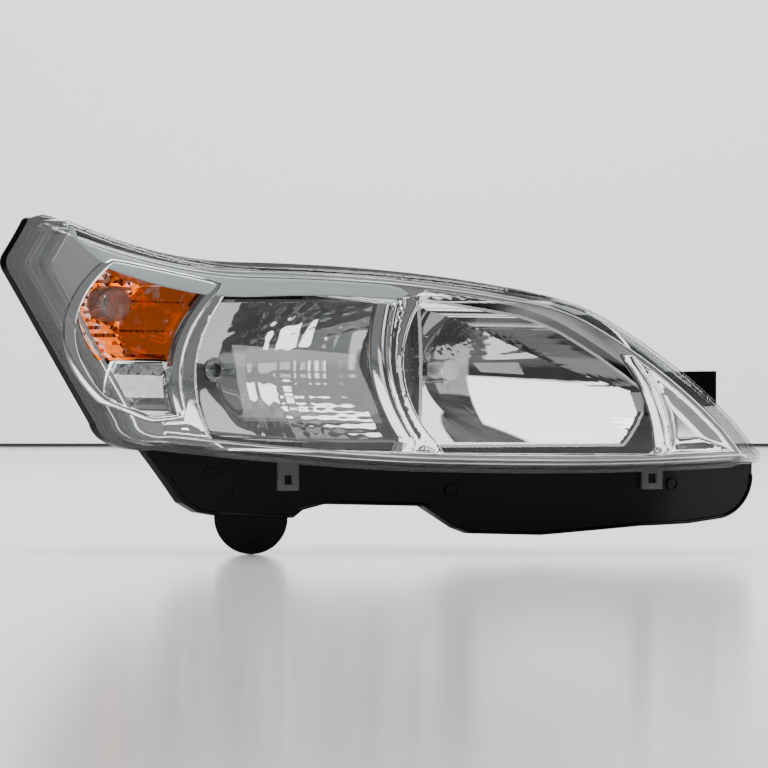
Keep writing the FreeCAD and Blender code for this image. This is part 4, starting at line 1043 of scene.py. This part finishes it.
def make_world():
    """Dim grey air that looks pale to the camera itself."""
    world = bpy.data.worlds.new("studio")
    bpy.context.scene.world = world
    world.use_nodes = True
    tree = world.node_tree
    tree.nodes.clear()
    output = tree.nodes.new("ShaderNodeOutputWorld")
    dim, pale = (tree.nodes.new("ShaderNodeBackground") for _ in range(2))
    for background, strength in ((dim, 0.14), (pale, 1.3)):
        background.inputs["Color"].default_value = (0.55, 0.57, 0.6, 1)
        background.inputs["Strength"].default_value = strength
    seen = tree.nodes.new("ShaderNodeLightPath").outputs["Is Camera Ray"]
    choice = tree.nodes.new("ShaderNodeMixShader")
    tree.links.new(seen, choice.inputs[0])
    tree.links.new(dim.outputs[0], choice.inputs[1])
    tree.links.new(pale.outputs[0], choice.inputs[2])
    tree.links.new(choice.outputs[0], output.inputs["Surface"])


def card(name, corners, strength):
    """A glowing board that only upright mirrors above the floor see."""
    n = Nodes(name)
    here = n.add("ShaderNodeNewGeometry").outputs
    rise = n.add("ShaderNodeSeparateXYZ", Vector=here["Incoming"]).outputs["Z"]
    upright = n.math("LESS_THAN", n.math("ABSOLUTE", rise), 0.25)
    height = n.add("ShaderNodeSeparateXYZ", Vector=here["Position"]).outputs["Z"]
    length = n.add("ShaderNodeLightPath").outputs["Ray Length"]
    seen_from = n.math("ADD", height, n.math("MULTIPLY", rise, length))
    shown = n.math("MULTIPLY", n.math("GREATER_THAN", seen_from, 0.004), upright)
    n.surface(n.blend(shown, n.add("ShaderNodeBsdfTransparent").outputs[0],
                      n.add("ShaderNodeEmission", Strength=strength).outputs[0]))
    obj = board(name, corners, MATERIALS[name])
    obj.visible_camera = False
    obj.visible_diffuse = False
    obj.visible_shadow = False


def make_lights():
    target = place(20, 60, 140)
    softbox("key", seen_from_camera(-1.6, -1.4, 2.3), target, 1.6, 1.2, 120)
    softbox("top", seen_from_camera(0.2, 0.1, 2.4), target, 2.2, 1.2, 110)
    softbox("right", seen_from_camera(2.2, -0.9, 1.1), target, 0.9, 1.4, 45)
    softbox("back", seen_from_camera(0, 1.9, 3.0), seen_from_camera(0, BACKDROP_FAR, 0.6),
            5, 1.2, 260)
    softbox("rear", seen_from_camera(-1.2, 2.4, 1.9), target, 1.6, 1.0, 90)
    card("veil_card", [(-0.40, -0.7, 0.01), (0.0, -0.7, 0.01), (-0.08, -0.7, 0.2),
                       (-0.44, -0.7, 0.23)], 4.5)


make_materials()
dress_cad_nodes()
make_lens()
make_bezel()
make_pod_rim()
make_frosted_strip()
make_trim()
make_skirt_bead()
make_bowl("low_bowl", "low_beam_reflector", "reflector", LOW_AXIS, sides=(46, 94), bottom=94,
          ripple=low_ripple, lip_depth=54)
make_bowl("high_bowl", "high_beam_reflector", "high_reflector", HIGH_AXIS, sides=(60, 119),
          bottom=90, ripple=high_ripple, lip_depth=46)
make_posts()
make_pod("indicator_facets", "indicator_reflector", "amber_reflector", axis=(-130, 225, 210),
         focal=18, hole_radius=13.5, low=163, high=250, pitch=6.5, proud=2.6, lean=0.25)
make_pod("side_lamp_facets", "side_lamp_reflector", "crystal_reflector", axis=(-107, 222, 138),
         focal=14, hole_radius=6.6, low=110, high=162, pitch=6.0, proud=1.8, lean=0.0)
make_cap()
make_camera()
make_stage()
make_world()
make_lights()
